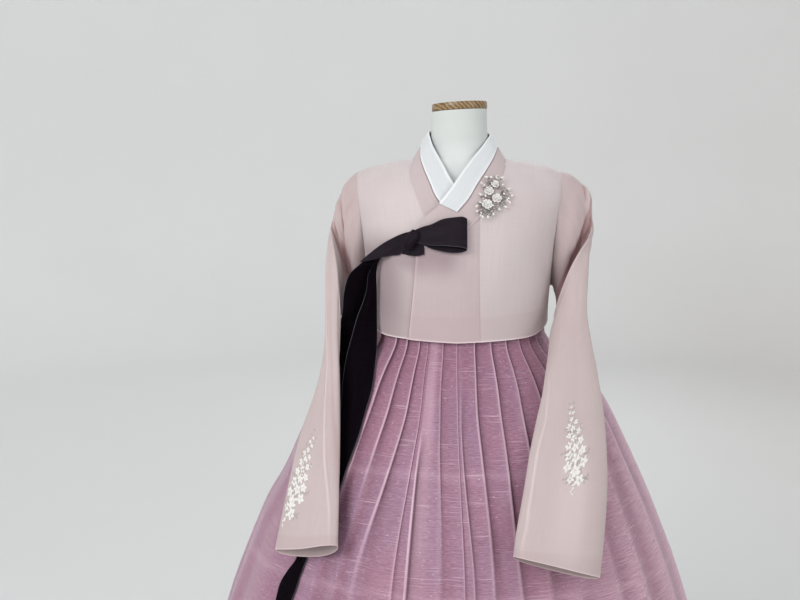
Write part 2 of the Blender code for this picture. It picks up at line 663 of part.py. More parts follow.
def form_ring(height, grow=0.0):
    sizes = [form_size(height, name) + grow for name in ("half_width", "front", "back")]
    power = BODICE_POWER - 0.2 * ease((height - 1240) / 120)
    ring = []
    for i in range(FORM_SIDES):
        ring.append(section_point(360 * i / FORM_SIDES, *sizes, power, height))
    return ring


def waistband(name, material):
    low, high = WAISTBAND
    heights = (low, 1162.0, high)
    outer = [form_ring(height, 2 * LAYER + WAISTBAND_WALL) for height in heights]
    inner = [form_ring(height, 2 * LAYER) for height in heights]
    return wall_between(name, outer, inner, material, ring=True)


# ---------------------------------------------------------------- ribbons
def edge_point(edge, lift):
    return Vector(edge) if len(edge) == 3 else skirt_point(edge[0], edge[1], lift)


def station_row(station):
    row = []
    for c in range(RIBBON_COLUMNS + 1):
        t = c / RIBBON_COLUMNS
        between = [a + (b - a) * t for a, b in zip(station.left, station.right)]
        row.append(edge_point(between, station.lift))
    return row


def curve_between(before, start, end, after, t):
    """Point of a smooth curve that passes start at t = 0 and end at t = 1."""
    bend = 2 * before - 5 * start + 4 * end - after
    twist = -before + 3 * start - 3 * end + after
    return (2 * start + (end - before) * t + bend * t * t + twist * t ** 3) / 2


def ribbon_grid(stations):
    rows = [station_row(station) for station in stations]
    last = len(rows) - 1
    grid = []
    for i in range(last):
        picked = [rows[max(i - 1, 0)], rows[i], rows[i + 1], rows[min(i + 2, last)]]
        for step in range(RIBBON_STEPS):
            t = step / RIBBON_STEPS
            grid.append([curve_between(*points, t) for points in zip(*picked)])
    grid.append(rows[last])
    return grid


def ribbon(name, stations, facing, material):
    grid = ribbon_grid(stations)
    inner = moved(grid, grid_normals(grid, facing), -RIBBON)
    return wall_between(name, grid, inner, material)


def knot(name, material):
    rings = []
    for i, row in enumerate(KNOT):
        centre = Vector((row.x, row.y, row.z))
        near, far = KNOT[max(i - 1, 0)], KNOT[min(i + 1, len(KNOT) - 1)]
        along = Vector((far.x - near.x, far.y - near.y, far.z - near.z)).normalized()
        across = along.cross(Vector((0, 1, 0))).normalized()
        out = across.cross(along).normalized()
        ring = []
        for k in range(KNOT_SIDES):
            turn = 2 * math.pi * k / KNOT_SIDES
            ring.append(centre + across * row.across * math.cos(turn) + out * row.thick * math.sin(turn))
        rings.append(ring)
    loft(name, rings, material)


# ---------------------------------------------------------------- brooch
def brooch_point(across, up, out):
    middle = bodice_point(*BROOCH_PLACE, BROOCH_LIFT)
    away = bodice_normal(*BROOCH_PLACE)
    side = Vector((0, 0, 1)).cross(-away).normalized() * -1
    rise = away.cross(side).normalized()
    return middle + side * across + rise * up + away * out


def brooch_stem(name, stations, material):
    rings = []
    last = len(stations) - 1
    for i, row in enumerate(stations):
        near, far = stations[max(i - 1, 0)], stations[min(i + 1, last)]
        heading = math.atan2(far.up - near.up, far.across - near.across)
        ring = []
        for k in range(STEM_SIDES):
            turn = 2 * math.pi * k / STEM_SIDES
            aside = row.radius * math.cos(turn)
            place = (row.across - aside * math.sin(heading), row.up + aside * math.cos(heading))
            ring.append(brooch_point(*place, row.radius * math.sin(turn)))
        rings.append(ring)
    loft(name, rings, material)


def dished_plate(name, rings, crown, material):
    """Closed plate: rings run from the underside over the rim to the top, crown is its middle."""
    shape = bmesh.new()
    loops = [[shape.verts.new(p * MM) for p in ring] for ring in rings]
    for low, high in zip(loops, loops[1:]):
        face_rows(shape, low, high, True)
    shape.faces.new(loops[0])
    top = shape.verts.new(crown * MM)
    count = len(loops[-1])
    for i in range(count):
        shape.faces.new((loops[-1][i], loops[-1][(i + 1) % count], top))
    add_object(name, shape, material)


def flower(name, spec, material):
    count = PETALS * PETAL_POINTS
    profile = [(0.62, 0.0), (1.0, 1.5), (1.0, 2.2), (0.5, 1.3)]
    rings = []
    for share, out in profile:
        ring = []
        for k in range(count):
            turn = 2 * math.pi * k / count
            notch = abs(math.sin(PETALS * turn / 2))
            reach = spec.radius * share * (1 - 0.26 * share * (1 - notch ** 0.7))
            aim = turn + math.radians(spec.turn)
            across, up = spec.across + reach * math.cos(aim), spec.up + reach * math.sin(aim)
            ring.append(brooch_point(across, up, FLOWER_BASE + out))
        rings.append(ring)
    dished_plate(name, rings, brooch_point(spec.across, spec.up, FLOWER_BASE + 2.0), material)


def leaf(name, spec, material):
    rings = []
    aim = math.radians(spec.turn)
    for out in (-LEAF_THICK / 2, LEAF_THICK / 2):
        ring = []
        for k in range(10):
            turn = 2 * math.pi * k / 10
            along = spec.length / 2 * math.cos(turn)
            aside = spec.width / 2 * math.sin(turn) * (1 - 0.25 * math.cos(turn))
            across = spec.across + along * math.cos(aim) - aside * math.sin(aim)
            up = spec.up + along * math.sin(aim) + aside * math.cos(aim)
            ring.append(brooch_point(across, up, out))
        rings.append(ring)
    dished_plate(name, rings, brooch_point(spec.across, spec.up, LEAF_THICK), material)


def brooch(material):
    brooch_stem("brooch_stem", MAIN_STEM, material)
    brooch_stem("brooch_side_stem", SIDE_STEM, material)
    for i, spec in enumerate(FLOWERS):
        flower("brooch_flower_%d" % (i + 1), spec, material)
    for i, spec in enumerate(LEAVES):
        leaf("brooch_leaf_%d" % (i + 1), spec, material)


# ---------------------------------------------------------------- dress form
def dress_form(cloth_material, wood_material, metal_material):
    rings = [form_ring(row.height) for row in FORM]
    for point in rings[-1]:
        point.z += NECK_TILT * point.x
    loft("form_torso", rings, cloth_material, math.radians(60))
    bottom = FORM[-1].height + LAYER
    cap = [(CAP_RADIUS - CAP_ROUND, 0.0), (CAP_RADIUS, CAP_ROUND),
           (CAP_RADIUS, CAP_THICK - CAP_ROUND), (CAP_RADIUS - CAP_ROUND, CAP_THICK)]
    loft("form_neck_cap", [circle(r, bottom + z, 40, NECK_TILT) for r, z in cap], wood_material)
    pole = (BASE_THICK + LAYER, FORM[0].height - LAYER)
    loft("form_pole", [circle(POLE_RADIUS, z, 24) for z in pole], metal_material)
    plate = [(BASE_RADIUS, 0.0), (BASE_RADIUS, BASE_THICK - BASE_ROUND),
             (BASE_RADIUS - BASE_ROUND, BASE_THICK)]
    loft("form_base", [circle(r, z, 64) for r, z in plate], metal_material)


def build():
    clean_scene()
    silk = finish_material("jacket_silk", (0.69, 0.59, 0.57), 0.62)
    collar_silk = finish_material("collar_silk", (0.50, 0.39, 0.40), 0.62)
    white = finish_material("collar_strip", (0.80, 0.82, 0.86), 0.55)
    skirt_silk = finish_material("skirt_silk", (0.44, 0.26, 0.36), 0.50)
    band_cotton = finish_material("waistband_cotton", (0.78, 0.72, 0.72), 0.80)
    ribbon_silk = finish_material("ribbon_silk", (0.028, 0.018, 0.028), 0.55)
    silver = finish_material("brooch_silver", (0.72, 0.70, 0.66), 0.35, 0.9)
    jersey = finish_material("form_jersey", (0.72, 0.74, 0.72), 0.80)
    wood = finish_material("form_wood", (0.40, 0.26, 0.12), 0.55)
    metal = finish_material("form_metal", (0.60, 0.60, 0.60), 0.40, 0.6)

    dress_form(jersey, wood, metal)
    waistband("chima_waistband", band_cotton)
    skirt("chima_skirt", skirt_silk)
    body_panel("jeogori_body_left", 1, LEFT_INNER, 8, silk)
    body_panel("jeogori_body_right", -1, RIGHT_INNER, 8, silk)
    overlap_panel("jeogori_outer_seop", silk)
    collar_pieces("jeogori_git", "jeogori_dongjeong", collar_silk, white)
    sleeve("jeogori_sleeve_left", 1, LEFT_SLEEVE, silk)
    sleeve("jeogori_sleeve_right", -1, RIGHT_SLEEVE, silk)
    ribbon("goreum_band", BAND, -1, ribbon_silk)
    ribbon("goreum_tail_long", LONG_TAIL, -1, ribbon_silk)
    ribbon("goreum_tail_short", SHORT_TAIL, -1, ribbon_silk)
    ribbon("goreum_loop", LOOP, -1, ribbon_silk)
    ribbon("goreum_tongue", TONGUE, 1, ribbon_silk)
    knot("goreum_knot", ribbon_silk)
    brooch(silver)


build()
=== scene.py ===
"""Looks of a Korean hanbok, a short jacket over a long pleated skirt, on a limbless dress form.

Tables and helpers are in millimetres and degrees, and a mesh is written in metres.
X runs to the wearer's left, the front faces -Y, Z is up and the floor is z = 0.
A sheet of cloth is a grid of points: its rows run down the cloth and its columns across it.
"""

import math
from collections import namedtuple

import bmesh
import bpy
import numpy as np
from mathutils import Matrix, Vector


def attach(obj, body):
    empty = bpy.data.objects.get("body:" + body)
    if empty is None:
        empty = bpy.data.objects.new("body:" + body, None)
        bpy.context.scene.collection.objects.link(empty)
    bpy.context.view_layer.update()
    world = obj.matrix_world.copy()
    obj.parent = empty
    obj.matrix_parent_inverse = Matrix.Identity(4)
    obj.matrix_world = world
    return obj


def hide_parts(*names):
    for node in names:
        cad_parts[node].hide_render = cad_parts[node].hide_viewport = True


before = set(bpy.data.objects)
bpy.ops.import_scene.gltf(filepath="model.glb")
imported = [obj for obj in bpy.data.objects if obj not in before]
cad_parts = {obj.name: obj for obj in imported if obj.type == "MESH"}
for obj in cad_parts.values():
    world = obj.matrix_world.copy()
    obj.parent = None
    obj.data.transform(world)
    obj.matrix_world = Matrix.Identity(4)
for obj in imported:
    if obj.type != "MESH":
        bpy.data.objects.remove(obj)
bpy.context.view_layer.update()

MM = 0.001
SILK_WALL = 0.7            # jacket and skirt cloth with its lining
STRIP_WALL = 0.8
RIBBON_WALL = 0.9

# ------------------------------------------------ sizes of the bodice
BODICE_POWER = 2.2
SHOULDER_DROP = 75.0
SHOULDER_ARC = 125.0       # cloth that bends over the shoulder
SIDE_SEAM = 90.0
FRONT_OVERLAP = 4.6        # how far the outer overlap stands off the body
RIDGE_REACH = 193.0        # half width that the shoulder ridge is read over
HEM_FRONT = 1071.0
HEM_RISE = 5.0             # how much higher the hem runs at the sides
SIDE_RISE = 14.0           # how much the hem is lifted at the side seams
ARMPIT = 0.77              # level of it: 0 is the shoulder ridge, -1 the front hem and 1 the back hem
BODY_LENGTH = 345.0        # cloth from hem to shoulder ridge
BODY_RADIUS = 165.0        # that a degree across the body cloth is measured with
BODY_ROWS = 150
BODY_FOLD = 40.0           # width of the hem that is turned up

Bodice = namedtuple("Bodice", "height half_width front back")
BODICE = [
    Bodice(1060, 152.5, 132.0, 122.0), Bodice(1100, 152.5, 132.5, 120.5),
    Bodice(1150, 154.5, 134.5, 119.0), Bodice(1200, 159.0, 135.0, 119.0),
    Bodice(1250, 170.0, 127.0, 118.0), Bodice(1300, 185.0, 111.0, 108.0),
    Bodice(1350, 195.0, 92.0, 90.0),
]
Ridge = namedtuple("Ridge", "x height")
RIDGE = [Ridge(0, 1366), Ridge(74, 1357), Ridge(120, 1350), Ridge(165, 1338), Ridge(200, 1322)]

Edge = namedtuple("Edge", "level angle")
ARMHOLE = [Edge(0.0, 59.5), Edge(0.20, 59.8), Edge(0.31, 61.5), Edge(0.45, 68.5),
           Edge(0.56, 74.0), Edge(0.67, 81.0), Edge(ARMPIT, SIDE_SEAM), Edge(1.0, SIDE_SEAM)]
LEFT_INNER = [Edge(-1.0, 11.9), Edge(-0.42, 9.2), Edge(-0.34, 13.0), Edge(-0.26, 17.0),
              Edge(-0.18, 19.5), Edge(-0.09, 20.3), Edge(0.0, 20.2), Edge(0.09, 18.2),
              Edge(0.16, 12.0), Edge(0.21, 0.0), Edge(1.0, 0.0)]
RIGHT_INNER = [Edge(-1.0, 3.0), Edge(-0.59, 5.5), Edge(-0.50, 7.9), Edge(-0.42, 15.7),
               Edge(-0.34, 18.5), Edge(-0.26, 20.8), Edge(-0.18, 21.9), Edge(-0.09, 20.8),
               Edge(0.0, 20.2), Edge(0.09, 18.2), Edge(0.16, 12.0), Edge(0.21, 0.0), Edge(1.0, 0.0)]
ARMHOLE_LEVELS = [0.0, -0.09, -0.18, -0.26, -0.34, -0.42, -0.50, -0.59, -0.68, -0.77,
                  0.68, 0.59, 0.50, 0.40, 0.30, 0.21, 0.16, 0.09]
ARMHOLE_GAP = 0.5
OVERLAP_HEM = (-28.4, 11.9)
OVERLAP_STATIONS = 6
OVERLAP_WIDTH = 110.0
OVERLAP_FOLD = 43.0

Collar = namedtuple("Collar", "angle level lift inner")
COLLAR = [
    Collar(-21.0, -0.56, 4.6, (-60, -126, 1260)),
    Collar(-12.5, -0.557, 4.6, (-46, -125.5, 1273)),
    Collar(-5.0, -0.54, 4.6, (-36, -124, 1281)),
    Collar(2.0, -0.493, 4.4, (-28.7, -121, 1288)),
    Collar(6.0, -0.455, 3.2, (-14.5, -112, 1305)),
    Collar(9.2, -0.42, 1.2, (-1, -100, 1324)),
    Collar(13.0, -0.34, 0.6, (11, -83, 1341)),
    Collar(17.0, -0.26, 0.6, (24, -62, 1358)),
    Collar(19.5, -0.18, 0.6, (37, -40, 1374)),
    Collar(20.3, -0.09, 0.6, (46, -20, 1387)),
    Collar(20.2, 0.0, 0.6, (51, 2, 1395)),
    Collar(18.2, 0.09, 0.6, (47, 23, 1398)),
    Collar(12.0, 0.16, 0.6, (33, 42, 1397)),
    Collar(0.0, 0.21, 0.6, (0, 55, 1395)),
    Collar(-12.0, 0.16, 0.6, (-33, 42, 1399)),
    Collar(-18.2, 0.09, 0.6, (-47, 22, 1401)),
    Collar(-20.2, 0.0, 0.6, (-51, 0, 1400)),
    Collar(-20.8, -0.09, 0.6, (-48, -20, 1389)),
    Collar(-21.9, -0.18, 0.6, (-44, -37, 1377)),
    Collar(-20.8, -0.26, 0.5, (-36, -55, 1362)),
    Collar(-18.3, -0.34, 0.4, (-26, -72, 1345)),
    Collar(-15.4, -0.42, 0.3, (-14, -92, 1324)),
    Collar(-7.4, -0.50, 0.3, (13, -111, 1287)),
]
COLLAR_BOW = 2.0
COLLAR_ROWS = 220
STRIP_START = 3
STRIP_ROWS = 200
STRIP_BEVEL = 0.54         # how much further along the outer edge the end is cut
Turn = namedtuple("Turn", "share lift")
# White strip in section: over the outside of the collar band, round its edge and down inside.
STRIP_SECTION = [Turn(0.500, 0.45), Turn(0.506, 1.15), Turn(0.53, 1.4), Turn(0.62, 1.4), Turn(0.75, 1.4),
                 Turn(0.88, 1.4), Turn(0.97, 1.4), Turn(1.02, 1.15), Turn(1.04, 0.4), Turn(1.035, -0.6),
                 Turn(1.01, -1.5), Turn(0.95, -1.9), Turn(0.86, -1.9)]

# ------------------------------------------------ sizes of the sleeves
Rib = namedtuple("Rib", "outer inner front back")
LEFT_SLEEVE = [
    Rib((184, 1, 1331), (159, 0, 1145), (-2, -52, 6), (-2, 50, 6)),
    Rib((200, 0, 1319), (161, -5, 1138), (2, -47, 4), (3, 49, 4)),
    Rib((214, -2, 1304), (163, -10, 1130), (5, -34, 0), (7, 46, 0)),
    Rib((219, -11, 1281), (164, -15, 1121), (1, -19, -2), (9, 43, -4)),
    Rib((220, -18, 1261), (165, -17, 1112), (1, -12, -3), (12, 40, -11)),
    Rib((221, -24, 1250), (167, -24, 1104), (-4, -11, -2), (14, 40, -22)),
    Rib((217.5, -30, 1241), (166, -46, 1101), (-4, -12, 0), (14, 46, -20)),
    Rib((214, -39, 1228), (160, -68, 1101), (-6, -14, 10), (14, 51, -25)),
    Rib((212, -51, 1200), (148, -100, 1083), (-7, -11, 2), (12, 60, -15)),
    Rib((209, -68, 1160), (141, -135, 1056), (-2, -12, 2), (8, 64, -12)),
    Rib((205, -95, 1115), (135, -163, 1033), (2, -11, 2), (8, 62, -8)),
    Rib((208, -122, 1078), (128, -192, 1003), (4, -12, 0), (6, 52, -2)),
    Rib((215, -150, 1035), (117, -222, 970), (4, -14, 0), (4, 38, 0)),
    Rib((221, -185, 985), (106, -254, 935), (2, -16, 2), (2, 25, 0)),
    Rib((222, -225, 930), (95, -292, 888), (0, -18, 2), (0, 22, 0)),
    Rib((217, -264, 868), (86, -323, 850), (2, -22, 6), (0, 19, -2)),
    Rib((201, -325, 780), (79, -352, 820), (3, -28, 12), (0, 14, -6)),
]
RIGHT_SLEEVE = [
    Rib((-182, 1, 1325), (-159, 0, 1145), (2, -52, 6), (2, 50, 6)),
    Rib((-193, 0, 1309), (-161, -5, 1138), (-1, -47, 4), (-3, 49, 4)),
    Rib((-201, -4, 1293), (-163, -10, 1130), (-3, -34, 0), (-7, 46, 0)),
    Rib((-206, -11, 1277), (-164, -15, 1121), (-1, -19, -2), (-9, 43, -4)),
    Rib((-210, -20, 1259), (-165, -19, 1112), (1, -12, -3), (-11, 40, -12)),
    Rib((-212, -25, 1249), (-166, -24, 1103), (4, -9, -5), (-13, 40, -20)),
    Rib((-213, -28, 1243), (-177, -58, 1104), (4, -12, -4), (-14, 46, -20)),
    Rib((-214, -34, 1234), (-188, -88, 1106), (6, -14, 6), (-14, 54, -20)),
    Rib((-217, -48, 1200), (-188, -105, 1084), (6, -12, 4), (-12, 60, -18)),
    Rib((-217, -68, 1155), (-186, -126, 1059), (4, -11, 2), (-10, 64, -12)),
    Rib((-214, -92, 1105), (-184, -148, 1033), (2, -11, 2), (-8, 62, -6)),
    Rib((-212, -115, 1065), (-181, -168, 1004), (0, -12, 0), (-6, 54, -2)),
    Rib((-216, -136, 1025), (-178, -192, 971), (-2, -13, 0), (-4, 46, 0)),
    Rib((-226, -159, 982), (-175, -218, 937), (-4, -14, 2), (-2, 32, 0)),
    Rib((-243, -189, 928), (-172, -248, 896), (-5, -15, 2), (0, 24, 0)),
    Rib((-256, -227, 852), (-169, -283, 852), (-6, -16, 4), (0, 18, -2)),
    Rib((-267, -263, 780), (-167, -314, 806), (-6, -18, 8), (4, 12, -8)),
]

# ------------------------------------------------ sizes of the skirt
Skirt = namedtuple("Skirt", "height half_width front back power flare")
SKIRT = [
    Skirt(1124.5, 141.0, 120.5, 109.5, 2.2, 0.0), Skirt(1083, 146.5, 125.0, 114.0, 2.2, 0.0),
    Skirt(1066, 149.0, 127.5, 116.5, 2.15, 0.02), Skirt(1050, 160.0, 141.0, 130.0, 2.1, 0.08),
    Skirt(1030, 181.0, 164.0, 153.0, 2.05, 0.16), Skirt(990, 222.0, 206.0, 199.0, 2.0, 0.30),
    Skirt(948, 256.0, 245.0, 239.0, 2.0, 0.42), Skirt(860, 297.0, 297.0, 290.0, 2.0, 0.60),
    Skirt(770, 334.0, 340.0, 330.0, 2.0, 0.72), Skirt(590, 404.0, 408.0, 402.0, 2.0, 0.85),
    Skirt(400, 452.0, 454.0, 452.0, 2.0, 0.93), Skirt(200, 487.0, 485.0, 485.0, 2.0, 0.98),
    Skirt(25, 506.0, 500.0, 500.0, 2.0, 1.0),
]
GATHER = 0.20
FOLDS_FROM = 1070.0        # the folds are followed down from here, the jacket's hem
SWELL, SWELL_AT, SWELL_OVER = 9.0, 740.0, 130.0      # the left side stands out a little
SLACK, SLACK_AT, SLACK_OVER = -13.0, 880.0, 92.0     # and the right side hangs in
TUCK = 3.4                 # depth of a pressed pleat's step where it is sewn in
TUCK_GROWTH = 4.0          # how much deeper the pressed step gets down the skirt
WAVE_SHARE = 0.8           # how much of a pleat's full depth the open wave keeps
DRIFT_FROM, DRIFT_OVER = 1020.0, 260.0

Pleat = namedtuple("Pleat", "angle low hem_depth ends strength starts", defaults=(1.0, -100))
PLEATS = [                 # ends is how far below the jacket's hem the fold has opened
    Pleat(-88, -89, 20, 150), Pleat(-74, -76, 24, 230), Pleat(-58, -61, 18, 190),
    Pleat(-40, -43, 26, 235, 1.0), Pleat(-31, -36.5, 20, 200), Pleat(-22, -31, 19, 330, 0.9),
    Pleat(-16.4, -18.6, 12, 420, 0.8), Pleat(-14.6, -15.3, 20, 900, 1.0, 110),
    Pleat(-7.6, -4.9, 15, 330, 0.35), Pleat(0, 3.2, 10, 380, 0.9), Pleat(1.6, 5.4, 18, 420, 0.7, 60),
    Pleat(9, 11.2, 20, 330, 0.95), Pleat(19, 19.6, 22, 350), Pleat(29.5, 27.6, 24, 300),
    Pleat(40, 37, 17, 260), Pleat(49.5, 48, 22, 200, 0.7), Pleat(59, 57, 24, 170),
    Pleat(71, 70, 18, 260, 0.8), Pleat(82, 82, 22, 180), Pleat(93, 92, 20, 230), Pleat(104, 105, 24, 330),
    Pleat(116, 114, 18, 250), Pleat(130, 131.5, 26, 430), Pleat(142, 143, 20, 290, 0.8),
    Pleat(153, 151, 17, 360), Pleat(161, 160, 24, 260, 0.6), Pleat(169.5, 171, 14, 540),
    Pleat(180, 181, 24, 340), Pleat(189.5, 188, 18, 420, 0.8), Pleat(201, 203, 22, 300),
    Pleat(212, 212, 24, 390), Pleat(224, 221, 17, 250, 0.7), Pleat(234, 236, 22, 310),
    Pleat(244, 243, 24, 210), Pleat(253, 254, 18, 280), Pleat(263, 262, 22, 220),
]
HOOPS = (902.0, 748.0)     # where the petticoat's hoops press through
HOOP_DIP = 40.0            # how much lower they hang at the sides
HOOP_RISE = 0.8
HOOP_WIDTH = 4.5
BROAD_FOLD = 7             # the pleat with a painted highlight across its whole face
Turned = namedtuple("Turned", "place sink")
PRESSED = [                # one pressed pleat in section, from its fold edge to the next one
    Turned(0.0, 0.0), Turned(0.045, 0.05), Turned(0.075, 0.30), Turned(0.055, 0.62), Turned(0.05, 0.86),
    Turned(0.10, 1.0), Turned(0.20, 0.95), Turned(0.34, 0.80), Turned(0.50, 0.61), Turned(0.67, 0.41),
    Turned(0.84, 0.20), Turned(0.95, 0.06),
]
OPEN = [                   # the same pleat where it has opened to a wave
    Turned(0.0, 0.0), Turned(0.06, 0.10), Turned(0.12, 0.36), Turned(0.18, 0.66), Turned(0.25, 0.90),
    Turned(0.33, 1.0), Turned(0.43, 0.92), Turned(0.54, 0.70), Turned(0.65, 0.46), Turned(0.77, 0.24),
    Turned(0.88, 0.08), Turned(0.95, 0.02),
]

# ------------------------------------------------ sizes of the ribbons
Edges = namedtuple("Edges", "left right lift", defaults=(0.0,))
BAND = [
    Edges((-71, -127, 1246), (-77, -129, 1226)),
    Edges((-83, -120, 1243), (-86, -121, 1216)),
    Edges((-99, -111.2, 1236), (-92, -117.7, 1208)),
    Edges((-120, -103, 1224), (-104, -112, 1206)),
    Edges((-141, -99, 1208), (-116, -110.5, 1204)),
    Edges((-157, -99, 1194), (-124, -107.5, 1201)),
]
LONG_TAIL = [
    Edges((-141, -90, 1205), (-124, -98, 1207)),
    Edges((-157, -90, 1190), (-128, -93, 1194)),
    Edges((-172, -94, 1176), (-136, -83, 1176)),
    Edges((-179, -98, 1160), (-140, -78, 1152)),
    Edges((-183, -101, 1138), (-142, -74, 1122)),
    Edges((-185, -100, 1114), (-143, -76, 1092)),
    Edges((-191.5, -90, 1086), (-143, -90, 1068)),
    Edges((-193.5, -92, 1056), (-144, -102, 1045)),
    Edges((-189, -120, 1010), (-146, -131, 1012)),
    Edges((-60, 972), (-47.5, 980), 3.4),
    Edges((-56, 930), (-45.5, 938), 3.6),
    Edges((-52.5, 868), (-43.5, 876), 3.2),
    Edges((-52.5, 812), (-45.5, 820), 2.7),
    Edges((-50.3, 764), (-46.6, 768), 3.2),
    Edges((-52.1, 739), (-47.1, 743), 3.2),
    Edges((-53.5, 717), (-47.4, 721), 2.7),
    Edges((-53.2, 694), (-47.7, 705), 2.7),
    Edges((-52.9, 673), (-46.8, 685), 2.7),
    Edges((-52.4, 640), (-46.8, 652), 2.7),
    Edges((-52.3, 612), (-47.0, 618), 2.7),
]
SHORT_TAIL = [
    Edges((-124, -102, 1207), (-113, -106.5, 1208)),
    Edges((-133, -99, 1194), (-125, -102, 1197)),
    Edges((-143, -97, 1174), (-130, -95, 1178)),
    Edges((-146, -98, 1149), (-130, -92, 1150)),
    Edges((-152, -102, 1128), (-130, -88, 1124)),
    Edges((-160, -107, 1107), (-130, -88, 1096)),
    Edges((-168, -112, 1078), (-129, -98, 1067)),
    Edges((-177, -120, 1043), (-130, -113, 1038)),
    Edges((-181, -139, 1006), (-132, -158, 1003)),
    Edges((-53, 966), (-40.5, 974), 5.8),
    Edges((-52, 930), (-40, 940), 6.1),
    Edges((-51, 880), (-41.5, 886), 5.6),
    Edges((-50, 830), (-42, 838), 4.9),
]
LOOP = [
    Edges((-68, -136.5, 1230), (-66, -134.5, 1249)),
    Edges((-55, -141, 1228), (-54, -137, 1254)),
    Edges((-41, -146, 1226), (-41, -139.5, 1258)),
    Edges((-23, -150, 1226), (-24, -141, 1266)),
    Edges((-5, -153, 1225), (-6, -143, 1269)),
    Edges((6, -154, 1224), (6, -143.5, 1270)),
    Edges((12.5, -151.5, 1222), (12, -140.5, 1267.5)),
    Edges((14, -147, 1219), (13.5, -136.5, 1265.5)),
    Edges((10, -143.5, 1216), (10, -133, 1266)),
    Edges((1, -143, 1214), (0, -132.3, 1266)),
    Edges((-12, -142.5, 1214), (-12, -132.5, 1264)),
    Edges((-26, -140.5, 1216), (-26, -132, 1260)),
    Edges((-42, -138.2, 1220), (-43, -131.5, 1254)),
    Edges((-56, -135, 1226), (-55, -131, 1250)),
    Edges((-68, -132.3, 1229), (-66, -130.4, 1247)),
]
TONGUE = [
    Edges((-88, -118.4, 1225), (-88.5, -117.8, 1210)),
    Edges((-79, -123.2, 1223), (-81, -121.5, 1209)),
    Edges((-74, -126.0, 1228), (-75, -126.5, 1208)),
    Edges((-62, -132.6, 1228.5), (-63, -133.4, 1208)),
    Edges((-53, -134.6, 1224.5), (-52, -135.8, 1211)),
]
Knot = namedtuple("Knot", "x y z across thick")
KNOT = [
    Knot(-65, -137.7, 1246.5, 5.5, 1.6), Knot(-67.5, -140.7, 1242, 7.5, 2.4),
    Knot(-71.5, -141.2, 1235.5, 7.5, 2.8), Knot(-77, -138.2, 1227.5, 7.0, 2.4),
    Knot(-81, -133.7, 1221.5, 5.0, 1.6),
]

# ------------------------------------------------ sizes of the brooch
BROOCH_PLACE = (13.3, -0.332)
BROOCH_LIFT = 2.6          # of the stems over the jacket
Stem = namedtuple("Stem", "across up radius")
MAIN_STEM = [Stem(-15, -27, 0.6), Stem(-9, -18, 0.9), Stem(-3, -8, 1.1), Stem(1, 3, 1.1),
             Stem(3, 14, 1.0), Stem(8, 24, 0.8), Stem(13, 31, 0.5)]
SIDE_STEM = [Stem(0.2, -6.2, 0.8), Stem(9, -4.5, 0.9), Stem(16, -1, 0.9), Stem(24, 4, 0.7), Stem(31, 6, 0.4)]
Flower = namedtuple("Flower", "across up radius turn")
FLOWERS = [Flower(-6, -13, 8.2, 10), Flower(10, -3, 7.6, 40), Flower(-1.5, 10, 7.4, 25),
           Flower(9, 22, 6.2, 0)]
PETALS = 5
FLOWER_BASE = 1.8
SPRIG_REACH = 2.8          # from a sprig's wire to the middle of its leaf
Bead = namedtuple("Bead", "across up radius")
LOOSE_BEADS = [Bead(-16, -28, 1.5), Bead(14, 32.5, 1.3), Bead(32.5, 6.6, 1.3), Bead(-11, -3, 1.4),
               Bead(-13, 3, 1.1), Bead(25, -2, 1.2), Bead(17, 14, 1.2), Bead(-9, 19, 1.1),
               Bead(3, 33, 1.1), Bead(-2, -19, 1.2)]
Leaf = namedtuple("Leaf", "across up turn length width")
LEAVES = [Leaf(-15.3, -12.1, 150, 13, 5), Leaf(-4.5, -24.6, -38, 12, 5), Leaf(18.0, -8.7, -42, 13, 5),
          Leaf(19.2, 6.9, 62, 12, 5), Leaf(-0.4, 24.2, 125, 13, 5), Leaf(14.9, 22.5, 10, 12, 4.5)]
SPRIGS = [                 # from the stem to the tip, and how far the wire bows
    (-9, -18, -21, -25, 4), (-12, -22, -15, -33, -3), (-6, -14, -21, -15, -4), (-4, -12, 3, -28, 4),
    (-8, -16, -6, -33, 2), (16, -1, 29, -8, 4), (18, 0, 33, 1, -3), (20, 2, 29, 13, 4),
    (12, -3, 21, -17, -4), (3, 14, -11, 22, 4), (8, 24, -2, 34, -3), (8, 24, 20, 33, 3),
    (8, 18, 20, 19, -4), (10, 26, 12, 34, 2), (0, 0, -14, 3, 3), (2, -8, 11, -21, -3),
]

# ------------------------------------------------ sizes of the dress form
Form = namedtuple("Form", "height half_width front back")
FORM = [
    Form(745, 128, 98, 96), Form(752, 141, 110, 108), Form(800, 160, 124, 124),
    Form(880, 162, 122, 128), Form(960, 138, 104, 106), Form(1030, 121, 96, 90),
    Form(1080, 126, 103, 93), Form(1124.8, 133.0, 110.0, 99.5), Form(1162, 133.5, 113.0, 100.5),
    Form(1200.0, 134.5, 113.5, 102.0), Form(1240, 146, 110, 101), Form(1275, 155, 101, 97),
    Form(1300, 159, 90, 89), Form(1318, 163, 77, 77), Form(1330, 160.0, 68, 66),
    Form(1337, 149.0, 63, 58), Form(1342.6, 132.0, 59.5, 51.5), Form(1347.0, 112.0, 57, 45.5),
    Form(1351.5, 88.5, 54.8, 41.5), Form(1355.0, 67.5, 53.2, 41.5), Form(1361.5, 54.0, 50.8, 43.5),
    Form(1375, 48.5, 47.8, 46), Form(1400, 46.5, 45.6, 45.2), Form(1435.5, 45.0, 45.0, 45.0),
]
NECK_TILT = 0.055          # rise of the neck's top for each millimetre to the left
CAP_RADIUS = 45.5
CAP_THICK = 12.6
WAISTBAND = (1124.8, 1200.0)
WAISTBAND_OUT = 3.6        # of its outer face over the form


# ------------------------------------------------ curves and grids of points
def column(rows, name):
    return np.array([getattr(row, name) for row in rows], float)


